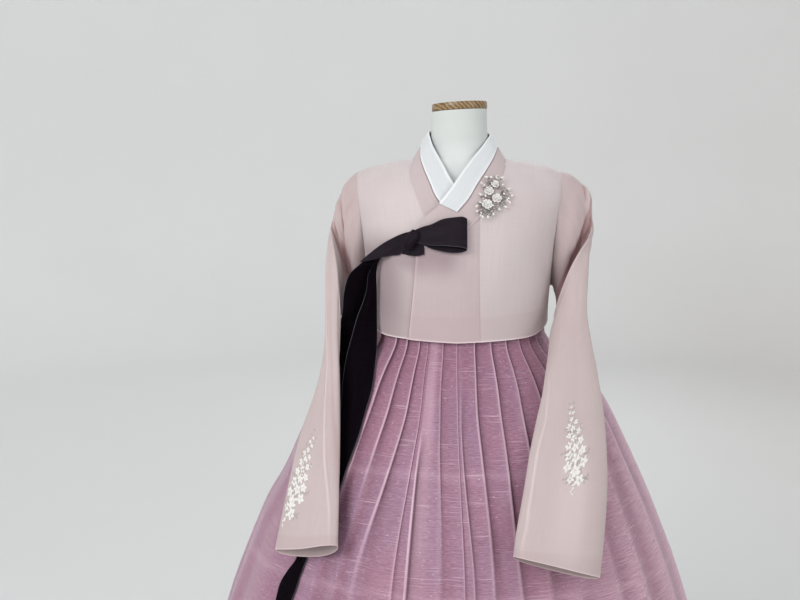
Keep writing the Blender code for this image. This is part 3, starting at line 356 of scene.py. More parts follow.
def through(keys, values, at):
    """Values at any keys, on a smooth curve through a table that may be uneven."""
    keys, values, at = np.asarray(keys, float), np.asarray(values, float), np.asarray(at, float)
    if keys[0] > keys[-1]:
        keys, values = keys[::-1], values[::-1]
    last = len(keys) - 1
    low = np.maximum(np.arange(last + 1) - 1, 0)
    high = np.minimum(np.arange(last + 1) + 1, last)
    slope = (values[high] - values[low]) / (keys[high] - keys[low])
    held = np.clip(at, keys[0], keys[-1])
    i = np.clip(np.searchsorted(keys, held, side="right") - 1, 0, last - 1)
    step = keys[i + 1] - keys[i]
    t = (held - keys[i]) / step
    start = (2 * t ** 3 - 3 * t ** 2 + 1) * values[i] + (t ** 3 - 2 * t ** 2 + t) * step * slope[i]
    end = (-2 * t ** 3 + 3 * t ** 2) * values[i + 1] + (t ** 3 - t ** 2) * step * slope[i + 1]
    return start + end + (at - held) * np.where(at < keys[0], slope[0], slope[-1])


def spread(stations, places, ring=False):
    """Entries of an evenly numbered table at any places, on a smooth curve through them."""
    stations, places = np.asarray(stations, float), np.asarray(places, float)
    count = len(stations)
    base = np.clip(np.floor(places).astype(int), 0, (count if ring else count - 1) - 1)
    t = (places - base).reshape((-1,) + (1,) * (stations.ndim - 1))
    picks = [base - 1, base, base + 1, base + 2]
    a, b, c, d = [stations[p % count if ring else np.clip(p, 0, count - 1)] for p in picks]
    return (2 * b + (c - a) * t + (2 * a - 5 * b + 4 * c - d) * t * t + (3 * b - a - 3 * c + d) * t ** 3) / 2


def loft_grid(stations, down, across):
    """Fine grid of points through a coarse one."""
    rows = spread(stations, down)
    return spread(rows.swapaxes(0, 1), across).swapaxes(0, 1)


def outward(points, facing, ring=False):
    """Unit normals of a grid of points."""
    down = np.gradient(points, axis=0)
    if ring:
        wrapped = np.concatenate([points[:, -2:-1], points, points[:, 1:2]], axis=1)
        across = wrapped[:, 2:] - wrapped[:, :-2]
    else:
        across = np.gradient(points, axis=1)
    normals = np.cross(across, down) * facing
    return normals / np.maximum(np.linalg.norm(normals, axis=2, keepdims=True), 1e-9)


def run_down(points):
    """Length of cloth from the first row to every point."""
    steps = np.linalg.norm(np.diff(points, axis=0), axis=2)
    return np.concatenate([np.zeros((1, points.shape[1])), np.cumsum(steps, axis=0)])


def run_across(points):
    steps = np.linalg.norm(np.diff(points, axis=1), axis=2)
    return np.concatenate([np.zeros((points.shape[0], 1)), np.cumsum(steps, axis=1)], axis=1)


def ease(t):
    t = np.clip(t, 0.0, 1.0)
    return t * t * (3 - 2 * t)


def signed_power(value, power):
    return np.sign(value) * np.abs(value) ** (2 / power)


def sine(angle, power=2.0):
    return signed_power(np.sin(np.radians(angle)), power)


def cosine(angle, power=2.0):
    return signed_power(np.cos(np.radians(angle)), power)


def girth_points(turn, height, half_width, front, back, power):
    """Points round a body at turns from its front; its front and back reach are given apart."""
    depth = np.where(np.cos(np.radians(turn)) > 0, front, back)
    x, y = half_width * sine(turn, power), -depth * cosine(turn, power)
    return np.stack([x, y, height + 0 * turn], axis=-1)


# A crease's tone is the painted shade along it, and a painted highlight where it is negative; without one it
# follows the crease's height.
Crease = namedtuple("Crease", "path width height tone lean", defaults=(None, 0.0))


def creased(points, normals, across, down, creases, drape=0.0):
    """Soft ridges along paths on the cloth, troughs where the height is negative, and a slack
    drape all over. A crease leans when it is steeper on one side. Gives the points, and how
    much painted shade every point gets: painted shade in a trough, painted highlight on a ridge."""
    slack = np.sin(across / 23 + 1.3) * np.sin(down / 41 + 0.6) + 0.7 * np.sin(across / 14 - down / 52)
    rise = drape * slack
    tone = np.zeros(points.shape[:2])
    for crease in creases:
        legs = list(zip(crease.path, crease.path[1:]))
        lengths = [math.dist(start, end) for start, end in legs]
        whole, passed = sum(lengths), 0.0
        off, share = np.full(tone.shape, 1e3), np.zeros(tone.shape)
        for (start, end), length in zip(legs, lengths):
            dx, dy = (end[0] - start[0]) / length, (end[1] - start[1]) / length
            along = np.clip((across - start[0]) * dx + (down - start[1]) * dy, 0, length)
            x, y = across - start[0] - along * dx, down - start[1] - along * dy
            gap = np.hypot(x, y) * np.where(y * dx - x * dy < 0, -1, 1)
            nearer = np.abs(gap) < np.abs(off)
            off = np.where(nearer, gap, off)
            share = np.where(nearer, (passed + along) / whole, share)
            passed += length
        width = crease.width * (1 + crease.lean * np.sign(off))
        taper = np.clip(np.sin(np.pi * np.clip(share, 0.0, 1.0)), 0, 1) ** 0.6
        form = np.exp(-(off / width) ** 2) * taper
        rise += crease.height * form
        # painted shade in a trough, painted highlight on a ridge
        tone += (-0.10 * crease.height if crease.tone is None else crease.tone) * form
    return points + normals * rise[..., None], tone


# ------------------------------------------------ meshes
def face_out(shape):
    bmesh.ops.recalc_face_normals(shape, faces=shape.faces[:])


def piece(name, shape, finish, stands_for=(), wall=0.0, sharp=None):
    """Put a bmesh in the scene as one piece that rides on the part."""
    for edge in shape.edges:
        if edge.is_boundary:
            edge.smooth = False
    mesh = bpy.data.meshes.new(name)
    shape.to_mesh(mesh)
    shape.free()
    mesh.shade_smooth()
    if sharp:
        mesh.set_sharp_from_angle(angle=math.radians(sharp))
    mesh.materials.append(finish)
    item = bpy.data.objects.new(name, mesh)
    bpy.context.scene.collection.objects.link(item)
    if wall:
        thick = item.modifiers.new("wall", "SOLIDIFY")
        thick.thickness = wall * MM
        thick.offset = -1.0
        thick.use_even_offset = False
    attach(item, "root")
    if stands_for:
        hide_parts(*stands_for)
    return item


def cloth(name, points, across, down, finish, stands_for=(), wall=SILK_WALL, facing=1,
          ring=False, marks=None):
    """Thin sheet through a grid of points. across and down are each point's place on the flat
    cloth; across may hold two values for every strip, for its two sides. marks are named
    values on the points that the finish reads."""
    rows, columns = points.shape[0] - 1, points.shape[1] - 1
    shape = bmesh.new()
    threads = shape.loops.layers.uv.new("threads")
    bmesh.ops.create_grid(shape, x_segments=columns, y_segments=rows, size=0.5, calc_uvs=True)
    for vert, place in zip(shape.verts, (points * MM).reshape(-1, 3).tolist()):
        vert.co = place
    if across.ndim == 2:
        across = np.stack([across[:, :-1], across[:, 1:]], axis=2)
    left, right = across[..., 0] * MM, across[..., 1] * MM
    fall = down * MM
    corners = np.stack([
        np.stack([left[:-1], fall[:-1, :-1]], axis=2), np.stack([right[:-1], fall[:-1, 1:]], axis=2),
        np.stack([right[1:], fall[1:, 1:]], axis=2), np.stack([left[1:], fall[1:, :-1]], axis=2)], axis=2)
    for face, places in zip(shape.faces, corners.reshape(-1, 4, 2).tolist()):
        for loop, place in zip(face.loops, places):
            loop[threads].uv = place
    for mark, values in (marks or {}).items():
        layer = shape.verts.layers.float.new(mark)
        for vert, value in zip(shape.verts, values.ravel().tolist()):
            vert[layer] = value
    if ring:
        bmesh.ops.remove_doubles(shape, verts=shape.verts[:], dist=1e-6)
    if facing < 0:
        bmesh.ops.reverse_faces(shape, faces=shape.faces[:])
    return piece(name, shape, finish, stands_for, wall)


# ------------------------------------------------ finishes
def new_finish(name, roughness, **sockets):
    finish = bpy.data.materials.new(name)
    finish.use_nodes = True
    shader = finish.node_tree.nodes["Principled BSDF"]
    shader.inputs["Roughness"].default_value = roughness
    for socket, value in sockets.items():
        shader.inputs[socket.replace("_", " ")].default_value = value
    return finish.node_tree, shader, finish


def feed(tree, socket, source):
    if isinstance(source, bpy.types.NodeSocket):
        tree.links.new(source, socket)
    elif isinstance(source, tuple) and len(source) == 3 and socket.type == "RGBA":
        socket.default_value = (*source, 1.0)
    else:
        socket.default_value = source


def sum_of(tree, operation, first, second=0.0, third=0.0):
    made = tree.nodes.new("ShaderNodeMath")
    made.operation = operation
    for socket, source in zip(made.inputs, (first, second, third)):
        feed(tree, socket, source)
    return made.outputs[0]


def between(tree, value, low, high, to_low=0.0, to_high=1.0):
    made = tree.nodes.new("ShaderNodeMapRange")
    made.interpolation_type = "SMOOTHSTEP"
    for socket, source in zip(made.inputs, (value, low, high, to_low, to_high)):
        feed(tree, socket, source)
    return made.outputs[0]


def tint(tree, share, first, second):
    made = tree.nodes.new("ShaderNodeMix")
    made.data_type = "RGBA"
    feed(tree, made.inputs["Factor"], share)
    feed(tree, made.inputs[6], first)
    feed(tree, made.inputs[7], second)
    return made.outputs[2]


def thread_map(tree, scale=(1.0, 1.0, 1.0)):
    """Place on the flat cloth, in metres, stretched by scale."""
    source = tree.nodes.new("ShaderNodeUVMap")
    source.uv_map = "threads"
    mapping = tree.nodes.new("ShaderNodeMapping")
    tree.links.new(source.outputs[0], mapping.inputs["Vector"])
    mapping.inputs["Scale"].default_value = scale
    return mapping.outputs[0]


def object_map(tree, scale=(1.0, 1.0, 1.0)):
    source = tree.nodes.new("ShaderNodeTexCoord")
    mapping = tree.nodes.new("ShaderNodeMapping")
    tree.links.new(source.outputs["Object"], mapping.inputs["Vector"])
    mapping.inputs["Scale"].default_value = scale
    return mapping.outputs[0]


def parts_of(tree, vector):
    """X, Y and Z of a place."""
    made = tree.nodes.new("ShaderNodeSeparateXYZ")
    tree.links.new(vector, made.inputs[0])
    return made.outputs


def noise(tree, vector, scale=1.0, detail=2.0, roughness=0.5):
    made = tree.nodes.new("ShaderNodeTexNoise")
    tree.links.new(vector, made.inputs["Vector"])
    made.inputs["Scale"].default_value = scale
    made.inputs["Detail"].default_value = detail
    made.inputs["Roughness"].default_value = roughness
    return made.outputs["Fac"]


def mark_of(tree, name):
    made = tree.nodes.new("ShaderNodeAttribute")
    made.attribute_name = name
    return made.outputs["Fac"]


def plain_weave(tree, pitch):
    """Height of threads that pass over and under each other, from -1 to 1."""
    parts = parts_of(tree, thread_map(tree))
    turns = math.pi / (pitch * MM)
    warp = sum_of(tree, "SINE", sum_of(tree, "MULTIPLY", parts["X"], turns))
    weft = sum_of(tree, "SINE", sum_of(tree, "MULTIPLY", parts["Y"], turns))
    return sum_of(tree, "MULTIPLY", warp, weft)


def raise_by(tree, shader, layers):
    """Chain of bumps; each layer is a height, its depth in millimetres and its strength."""
    normal = None
    for height, depth, strength in layers:
        bump = tree.nodes.new("ShaderNodeBump")
        bump.inputs["Distance"].default_value = depth * MM
        bump.inputs["Strength"].default_value = strength
        tree.links.new(height, bump.inputs["Height"])
        if normal:
            tree.links.new(normal, bump.inputs["Normal"])
        normal = bump.outputs["Normal"]
    tree.links.new(normal, shader.inputs["Normal"])


JACKET_WEAVE = 0.45        # pitch of the threads
SKIRT_WEAVE = 0.6
RIBBON_WEAVE = 0.5
STRIP_WEAVE = 0.35
COTTON_WEAVE = 0.8
JERSEY_RIB = 1.2           # width of a rib, and the height of a course of loops
JERSEY_COURSE = 1.0
FLOSS_PITCH = 0.35


def jacket_finish(name, base, deep, cross):
    """Fine plain silk: base is its colour, deep where it lies double, cross its weft tone.
    The tone mark paints shade into a trough, deeper still past 1, and a pale painted highlight on a ridge
    where it is negative; the shade mark is a painted shadow. A turned edge is paler."""
    tree, shader, finish = new_finish(name, 0.62, Sheen_Weight=0.22, Sheen_Roughness=0.45,
                                      Specular_IOR_Level=0.25)
    warp = noise(tree, thread_map(tree, (1300.0, 12.0, 1.0)), detail=3.0, roughness=0.62)
    weft = noise(tree, thread_map(tree, (16.0, 1300.0, 1.0)), detail=3.0, roughness=0.62)
    cloud = noise(tree, object_map(tree), scale=9.0, detail=3.0)
    colour = tint(tree, between(tree, warp, 0.35, 0.70, 0.0, 0.8), base, cross)
    colour = tint(tree, between(tree, weft, 0.50, 0.78, 0.0, 0.55), colour, deep)
    colour = tint(tree, between(tree, cloud, 0.35, 0.75, 0.0, 0.35), colour, deep)
    colour = tint(tree, mark_of(tree, "double"), colour, deep)
    # painted shade for troughs, from the tone mark
    trough_shade = (deep[0] * 0.94, deep[1] * 0.79, deep[2] * 0.79)
    tone = mark_of(tree, "tone")
    colour = tint(tree, between(tree, tone, 0.0, 1.0), colour, trough_shade)
    # tone past 1: the deepest painted shade
    colour = tint(tree, between(tree, tone, 1.0, 2.0), colour, (0.235, 0.128, 0.122))
    # painted shadow from the shade mark
    colour = tint(tree, mark_of(tree, "shade"), colour, (base[0] * 0.52, base[1] * 0.46, base[2] * 0.49))
    # pale: painted highlight on ridges where the tone mark is negative, and the paler turned edge
    pale = tuple(min(1.0, value * 1.2) for value in base)
    colour = tint(tree, between(tree, tone, 0.0, -1.0), colour, pale)
    colour = tint(tree, mark_of(tree, "turned"), colour, (pale[0] * 1.1, pale[1] * 1.06, pale[2] * 1.08))
    feed(tree, shader.inputs["Base Color"], colour)
    weave = plain_weave(tree, JACKET_WEAVE)
    raise_by(tree, shader, [(weave, 0.06, 0.5), (warp, 0.12, 0.3), (weft, 0.12, 0.3)])
    return finish


def skirt_finish():
    """Shot silk with slubs: rose weft with a few paler slubs over a violet warp."""
    tree, shader, finish = new_finish("skirt_silk_slubbed", 0.5, Sheen_Weight=0.55, Sheen_Roughness=0.4,
                                      Specular_IOR_Level=0.32)
    shader.inputs["Sheen Tint"].default_value = (1.0, 0.86, 0.93, 1.0)
    rose, violet = (0.34, 0.155, 0.225), (0.285, 0.155, 0.25)
    deep, pale = (0.20, 0.082, 0.13), (0.56, 0.38, 0.44)
    broad = noise(tree, object_map(tree, (1.0, 1.0, 0.55)), scale=8.0, detail=3.0)
    weft = noise(tree, thread_map(tree, (26.0, 620.0, 1.0)), detail=4.0, roughness=0.65)
    fine = noise(tree, thread_map(tree, (110.0, 1500.0, 1.0)), detail=2.0, roughness=0.6)
    warp = noise(tree, thread_map(tree, (1100.0, 30.0, 1.0)), detail=2.0)
    slub = noise(tree, thread_map(tree, (17.0, 520.0, 1.0)), detail=0.0)
    grouped = noise(tree, thread_map(tree, (9.0, 30.0, 1.0)), detail=1.0)
    nub = noise(tree, thread_map(tree, (190.0, 420.0, 1.0)), detail=0.0)
    # painted light: the skirt paler towards +X and lower down
    place = parts_of(tree, object_map(tree))
    lit = sum_of(tree, "ADD", between(tree, place["X"], 0.10, 0.30, 0.0, 0.90),
                 between(tree, place["Z"], 0.99, 0.70, 0.0, 0.14))
    colour = tint(tree, between(tree, broad, 0.40, 0.60), rose, violet)
    colour = tint(tree, lit, colour, (0.64, 0.39, 0.48))
    # painted shade in the pleats' hollows and under the jacket's hem
    sunk_shade = between(tree, mark_of(tree, "sunk_shade"), 0.0, 1.0, 0.0, 0.75)
    colour = tint(tree, sunk_shade, colour, (0.27, 0.105, 0.165))
    colour = tint(tree, between(tree, weft, 0.34, 0.70, 0.0, 0.75), colour, deep)
    colour = tint(tree, between(tree, fine, 0.42, 0.70, 0.0, 0.45), colour, pale)
    colour = tint(tree, between(tree, warp, 0.45, 0.75, 0.0, 0.35), colour, violet)
    shown = sum_of(tree, "MULTIPLY", between(tree, slub, 0.655, 0.73), between(tree, grouped, 0.44, 0.62))
    colour = tint(tree, sum_of(tree, "MULTIPLY", shown, 0.40), colour, (0.72, 0.53, 0.60))
    colour = tint(tree, between(tree, nub, 0.77, 0.83, 0.0, 0.45), colour, (0.78, 0.62, 0.68))
    # painted highlight on the fold edges, the broad fold and the hoops' ridges
    colour = tint(tree, mark_of(tree, "pressed"), colour, (0.70, 0.48, 0.57))
    # painted shadow beside each pressed fold edge
    colour = tint(tree, mark_of(tree, "tuck_shadow"), colour, (0.085, 0.022, 0.045))
    feed(tree, shader.inputs["Base Color"], colour)
    weave = plain_weave(tree, SKIRT_WEAVE)
    raise_by(tree, shader, [(weave, 0.08, 0.5), (weft, 0.22, 0.5), (shown, 0.3, 0.4)])
    return finish


def ribbon_finish(name, share):
    """Near-black silk with a thin grey painted highlight along both edges; share is how much light is painted
    into it, lower for the tails' shaded copy.
    """
    tree, shader, finish = new_finish(name, 0.6, Sheen_Weight=0.02 * share, Sheen_Roughness=0.4,
                                      Specular_IOR_Level=0.10 * share ** 2)
    warp = noise(tree, thread_map(tree, (1300.0, 18.0, 1.0)), detail=3.0)
    weft = noise(tree, thread_map(tree, (25.0, 1100.0, 1.0)), detail=3.0)
    dark, mid, light = [tuple(value * share for value in tone) for tone in
                        ((0.0085, 0.0050, 0.0090), (0.0150, 0.0092, 0.0155), (0.0215, 0.0145, 0.0220))]
    colour = tint(tree, between(tree, warp, 0.35, 0.7), dark, mid)
    colour = tint(tree, between(tree, weft, 0.5, 0.75, 0.0, 0.6), colour, light)
    # painted highlight along both edges
    colour = tint(tree, mark_of(tree, "edge_highlight"), colour, (0.105, 0.105, 0.115))
    feed(tree, shader.inputs["Base Color"], colour)
    raise_by(tree, shader, [(plain_weave(tree, RIBBON_WEAVE), 0.07, 0.5), (weft, 0.15, 0.4)])
    return finish


def strip_finish():
    tree, shader, finish = new_finish("collar_strip_white", 0.5, Sheen_Weight=0.1, Specular_IOR_Level=0.3)
    grain = noise(tree, thread_map(tree, (900.0, 20.0, 1.0)), detail=3.0)
    colour = tint(tree, between(tree, grain, 0.3, 0.75), (0.655, 0.67, 0.685), (0.62, 0.635, 0.655))
    colour = tint(tree, mark_of(tree, "turned"), colour, (0.78, 0.79, 0.80))
    feed(tree, shader.inputs["Base Color"], colour)
    raise_by(tree, shader, [(plain_weave(tree, STRIP_WEAVE), 0.04, 0.5), (grain, 0.04, 0.15)])
    return finish


def cotton_finish():
    tree, shader, finish = new_finish("waistband_cotton_plain", 0.85, Sheen_Weight=0.1,
                                      Specular_IOR_Level=0.2)
    fleck = noise(tree, thread_map(tree, (300.0, 300.0, 1.0)), detail=3.0)
    colour = tint(tree, between(tree, fleck, 0.3, 0.7), (0.78, 0.72, 0.72), (0.66, 0.60, 0.60))
    feed(tree, shader.inputs["Base Color"], colour)
    raise_by(tree, shader, [(plain_weave(tree, COTTON_WEAVE), 0.15, 0.6)])
    return finish


def jersey_finish():
    """Knitted cover of the dress form: fine stockinette ribs."""
    tree, shader, finish = new_finish("form_jersey_knit", 0.8, Sheen_Weight=0.2, Specular_IOR_Level=0.25)
    parts = parts_of(tree, thread_map(tree))
    rib = sum_of(tree, "SINE", sum_of(tree, "MULTIPLY", parts["X"], math.tau / (JERSEY_RIB * MM)))
    course = sum_of(tree, "ABSOLUTE", rib)
    loops = sum_of(tree, "MULTIPLY_ADD", parts["Y"], math.tau / (JERSEY_COURSE * MM), course)
    stitch = sum_of(tree, "SINE", loops)
    knit = sum_of(tree, "MULTIPLY_ADD", stitch, 0.5, rib)
    soil = noise(tree, object_map(tree), scale=12.0, detail=4.0)
    colour = tint(tree, between(tree, soil, 0.3, 0.75), (0.615, 0.64, 0.62), (0.565, 0.59, 0.58))
    # painted light on the lower neck, lifting the shade inside the collar
    place = parts_of(tree, object_map(tree))
    colour = tint(tree, between(tree, place["Z"], 1.40, 1.35), colour, (0.72, 0.745, 0.735))
    feed(tree, shader.inputs["Base Color"], colour)
    raise_by(tree, shader, [(knit, 0.08, 0.5), (soil, 0.6, 0.2)])
    return finish


def wood_finish():
    """Pale hardwood with darker growth rings, under satin varnish."""
    tree, shader, finish = new_finish("neck_cap_wood", 0.42, Specular_IOR_Level=0.5, Coat_Weight=0.2)
    grain = tree.nodes.new("ShaderNodeTexWave")
    grain.wave_type = "BANDS"
    grain.bands_direction = "DIAGONAL"
    tree.links.new(object_map(tree, (1.0, 0.3, 1.0)), grain.inputs["Vector"])
    for socket, value in (("Scale", 78.0), ("Distortion", 4.0), ("Detail", 3.0), ("Detail Scale", 2.0)):
        grain.inputs[socket].default_value = value
    fibre = noise(tree, object_map(tree, (60.0, 60.0, 900.0)), scale=3.0, detail=3.0)
    rings = between(tree, grain.outputs["Fac"], 0.2, 0.85)
    colour = tint(tree, rings, (0.31, 0.195, 0.085), (0.115, 0.068, 0.025))
    colour = tint(tree, between(tree, fibre, 0.5, 0.8, 0.0, 0.5), colour, (0.44, 0.285, 0.12))
    feed(tree, shader.inputs["Base Color"], colour)
    raise_by(tree, shader, [(grain.outputs["Fac"], 0.15, 0.3), (fibre, 0.1, 0.3)])
    return finish


def metal_finish(name, base, worn, roughness, brush):
    """Brushed or cast metal with faint scuffs."""
    tree, shader, finish = new_finish(name, roughness, Metallic=0.9)
    streak = noise(tree, object_map(tree, brush), scale=1.0, detail=3.0)
    scuff = noise(tree, object_map(tree), scale=40.0, detail=4.0)
    colour = tint(tree, between(tree, streak, 0.3, 0.75), base, worn)
    feed(tree, shader.inputs["Base Color"], colour)
    feed(tree, shader.inputs["Roughness"], between(tree, scuff, 0.3, 0.8, roughness - 0.08, roughness + 0.14))
    raise_by(tree, shader, [(streak, 0.05, 0.3)])
    return finish


def satin_finish(name, base, shade):
    """Embroidery floss: thin parallel threads along each stitch."""
    tree, shader, finish = new_finish(name, 0.42, Sheen_Weight=0.3, Specular_IOR_Level=0.45)
    parts = parts_of(tree, thread_map(tree))
    turns = math.tau / (FLOSS_PITCH * MM)
    floss = sum_of(tree, "SINE", sum_of(tree, "MULTIPLY", parts["X"], turns))
    worn = noise(tree, thread_map(tree, (600.0, 60.0, 1.0)), detail=2.0)
    colour = tint(tree, between(tree, worn, 0.3, 0.75), base, shade)
    feed(tree, shader.inputs["Base Color"], colour)
    raise_by(tree, shader, [(floss, 0.08, 0.6)])
    return finish


def enamel_finish():
    """Milky petals of the brooch, with painted shade where they dip."""
    tree, shader, finish = new_finish("brooch_petal_enamel", 0.3, Coat_Weight=0.4, Subsurface_Weight=0.1)
    shader.inputs["Subsurface Scale"].default_value = 0.001
    cloud = noise(tree, object_map(tree), scale=260.0, detail=3.0)
    colour = tint(tree, between(tree, cloud, 0.3, 0.75), (0.84, 0.82, 0.79), (0.66, 0.63, 0.60))
    colour = tint(tree, mark_of(tree, "dip"), colour, (0.16, 0.145, 0.135))
    feed(tree, shader.inputs["Base Color"], colour)
    raise_by(tree, shader, [(cloud, 0.15, 0.3)])
    return finish


def pearl_finish():
    tree, shader, finish = new_finish("brooch_pearl", 0.22, Coat_Weight=0.6, Sheen_Weight=0.3)
    lustre = noise(tree, object_map(tree), scale=420.0, detail=2.0)
    colour = tint(tree, between(tree, lustre, 0.3, 0.7), (0.80, 0.77, 0.74), (0.70, 0.66, 0.68))
    feed(tree, shader.inputs["Base Color"], colour)
    raise_by(tree, shader, [(lustre, 0.05, 0.2)])
    return finish


# ------------------------------------------------ jacket body
def bodice_skin(angle, level):
    """Points of the jacket's surface without any lift."""
    angle, level = np.broadcast_arrays(np.asarray(angle, float), np.asarray(level, float))
    across = sine(angle, BODICE_POWER)
    start = through(column(RIDGE, "x"), column(RIDGE, "height"), RIDGE_REACH * np.abs(across)) - SHOULDER_DROP
    hem = HEM_FRONT + HEM_RISE * np.abs(across)
    height = hem + (start + SHOULDER_ARC - hem) * (1 - np.abs(level))
    over = height > start
    bend = np.where(over, np.radians(90 * (height - start) / SHOULDER_ARC), 0.0)
    height = np.where(over, start + SHOULDER_DROP * np.sin(bend), height)
    keys = column(BODICE, "height")
    half_width = through(keys, column(BODICE, "half_width"), height)
    front = through(keys, column(BODICE, "front"), height)
    back = through(keys, column(BODICE, "back"), height)
    depth = np.where(level < 0, -front, back)
    y = depth * cosine(angle, BODICE_POWER) * np.cos(bend)
    return np.stack([half_width * across, y, height], axis=-1)


def bodice_normal(angle, level):
    angle, level = np.broadcast_arrays(np.asarray(angle, float), np.asarray(level, float))
    turn, rise = 0.4, 0.004
    held = np.clip(angle, turn - SIDE_SEAM, SIDE_SEAM - turn)
    level = np.clip(level, -1.0, 1.0)
    across = bodice_skin(held + turn, level) - bodice_skin(held - turn, level)
    along = bodice_skin(held, level + rise) - bodice_skin(held, level - rise)
    normal = np.cross(across, along)
    normal /= np.linalg.norm(normal, axis=-1, keepdims=True)
    top = np.stack([0.12 * np.sign(angle), np.zeros(angle.shape), np.ones(angle.shape)], axis=-1) / 1.00717
    return np.where((np.abs(level) < rise * 1.5)[..., None], top, normal)


def bodice_point(angle, level, lift=0.0):
    return bodice_skin(angle, level) + bodice_normal(angle, level) * np.asarray(lift, float)[..., None]


def edge_angle(rows, level):
    return np.interp(level, column(rows, "level"), column(rows, "angle"))


def body_rows(count):
    """Levels from the front hem to the back hem, closer together at both hems."""
    ends = np.array([0.0, 0.003, 0.007, 0.013, 0.022])
    middle = np.linspace(0.03, 1.97, count)
    return np.concatenate([ends, middle, 2.0 - ends[::-1]]) - 1.0


LEFT_CREASES = [
    Crease([(150, 285), (62, 330)], 7, 1.1), Crease([(140, 262), (70, 300)], 9, -0.9),
    Crease([(178, 300), (120, 340)], 6, 0.8), Crease([(205, 105), (150, 190)], 11, 0.9),
    Crease([(215, 85), (120, 120)], 12, -0.8), Crease([(230, 60), (170, 30)], 9, 0.8),
    Crease([(60, 60), (62, 225)], 16, 0.5), Crease([(120, 20), (112, 150)], 18, -0.5),
    Crease([(160, 500), (110, 640)], 18, 1.0), Crease([(60, 470), (70, 660)], 20, -0.9),
    Crease([(190, 430), (160, 560)], 14, 0.9), Crease([(30, 520), (24, 670)], 14, 0.7),
]
RIGHT_CREASES = [
    Crease([(165, 280), (95, 322)], 7, 1.0), Crease([(150, 255), (100, 300)], 8, -0.8),
    Crease([(182, 300), (130, 342)], 6, 0.9), Crease([(215, 95), (150, 175)], 11, 0.9),
    Crease([(222, 80), (140, 115)], 12, -0.8), Crease([(120, 90), (118, 205)], 15, 0.6),
    Crease([(160, 20), (150, 130)], 16, -0.5), Crease([(150, 480), (120, 640)], 18, 0.9),
    Crease([(70, 500), (62, 650)], 18, -0.8), Crease([(200, 440), (150, 540)], 13, 0.9),
]


def body_panel(name, node, side, inner, creases, finish):
    """Half of the jacket's body, from the front hem over the shoulder to the back hem."""
    level = body_rows(BODY_ROWS)[:, None]
    start, end = edge_angle(inner, level[:, 0]), edge_angle(ARMHOLE, np.abs(level[:, 0]))
    start, end = (start - 1.1)[:, None], (end + np.where(np.abs(level[:, 0]) < ARMPIT, 0.7, -0.05))[:, None]
    share = np.concatenate([[0.0, 0.006, 0.014, 0.024], np.linspace(0.035, 0.965, 56),
                            [0.976, 0.986, 0.994, 1.0]])
    angle = start + (end - start) * share
    tuck = ease((share - 0.976) / 0.024) * (np.abs(level) < ARMPIT + 0.02) * 0.4
    slip = ease((0.02 - share) / 0.02) * (level < -0.4) * 0.9
    points = bodice_point(side * angle, level, -tuck - slip)
    across = BODY_RADIUS * np.radians(angle) + 0 * level
    down = BODY_LENGTH * (level + 1) + 0 * angle
    normals = outward(points, side)
    points, tone = creased(points, normals, across, down, creases, drape=0.35)
    hem = BODY_LENGTH * (1 - np.abs(level))
    points[..., 2] += SIDE_RISE * ease((angle - 45) / 40) * ease((90 - hem) / 90)
    fold = BODY_FOLD + 5.0 * np.sin(np.radians(angle * 1.5))
    double = 0.34 * ease((fold - hem) / 3.0)
    seam = ease((share - 0.93) / 0.02) * (np.abs(level) < ARMPIT) * 0.12
    # darker towards the hem, carried in the double mark
    low = 0.35 * ease((150 - hem) / 150) + 0 * angle
    edge = BODY_RADIUS * np.radians(angle - start)
    # painted shadow in a thin line beside the outer overlap's edge; lower on the left front a paler patch
    # towards the side seam
    line = 0.55 * np.exp(-((edge - 3.2) / 1.0) ** 2) * (level < -0.45)
    line = line - (side > 0) * 0.3 * ease((angle - 50) / 35) * ease((0.3 - np.abs(level + 0.7)) / 0.2)
    # painted shadow on the right front, cast by the ties and by the bow above
    shade = 0.0 * angle
    if side < 0:
        shade = 0.9 * ease((angle - 17) / 26) * ease((-0.42 - level) / 0.2) * (level > -1.01)
        shade = shade * (1 - 0.35 * ease((60 - hem) / 60)) * (1 - ease((angle - 60) / 25))
        bow_shadow = 0.8 * ease((level + 0.74) / 0.12) * ease((-0.5 - level) / 0.06) * ease((50 - angle) / 10)
        shade = np.maximum(shade, bow_shadow)
    marks = {"double": np.maximum(double, seam) + low, "turned": ease((3.0 - hem) / 2.0) + 0 * angle,
             "tone": tone + line, "shade": shade}
    return cloth(name, points, across, down, finish, [node], facing=side, marks=marks)


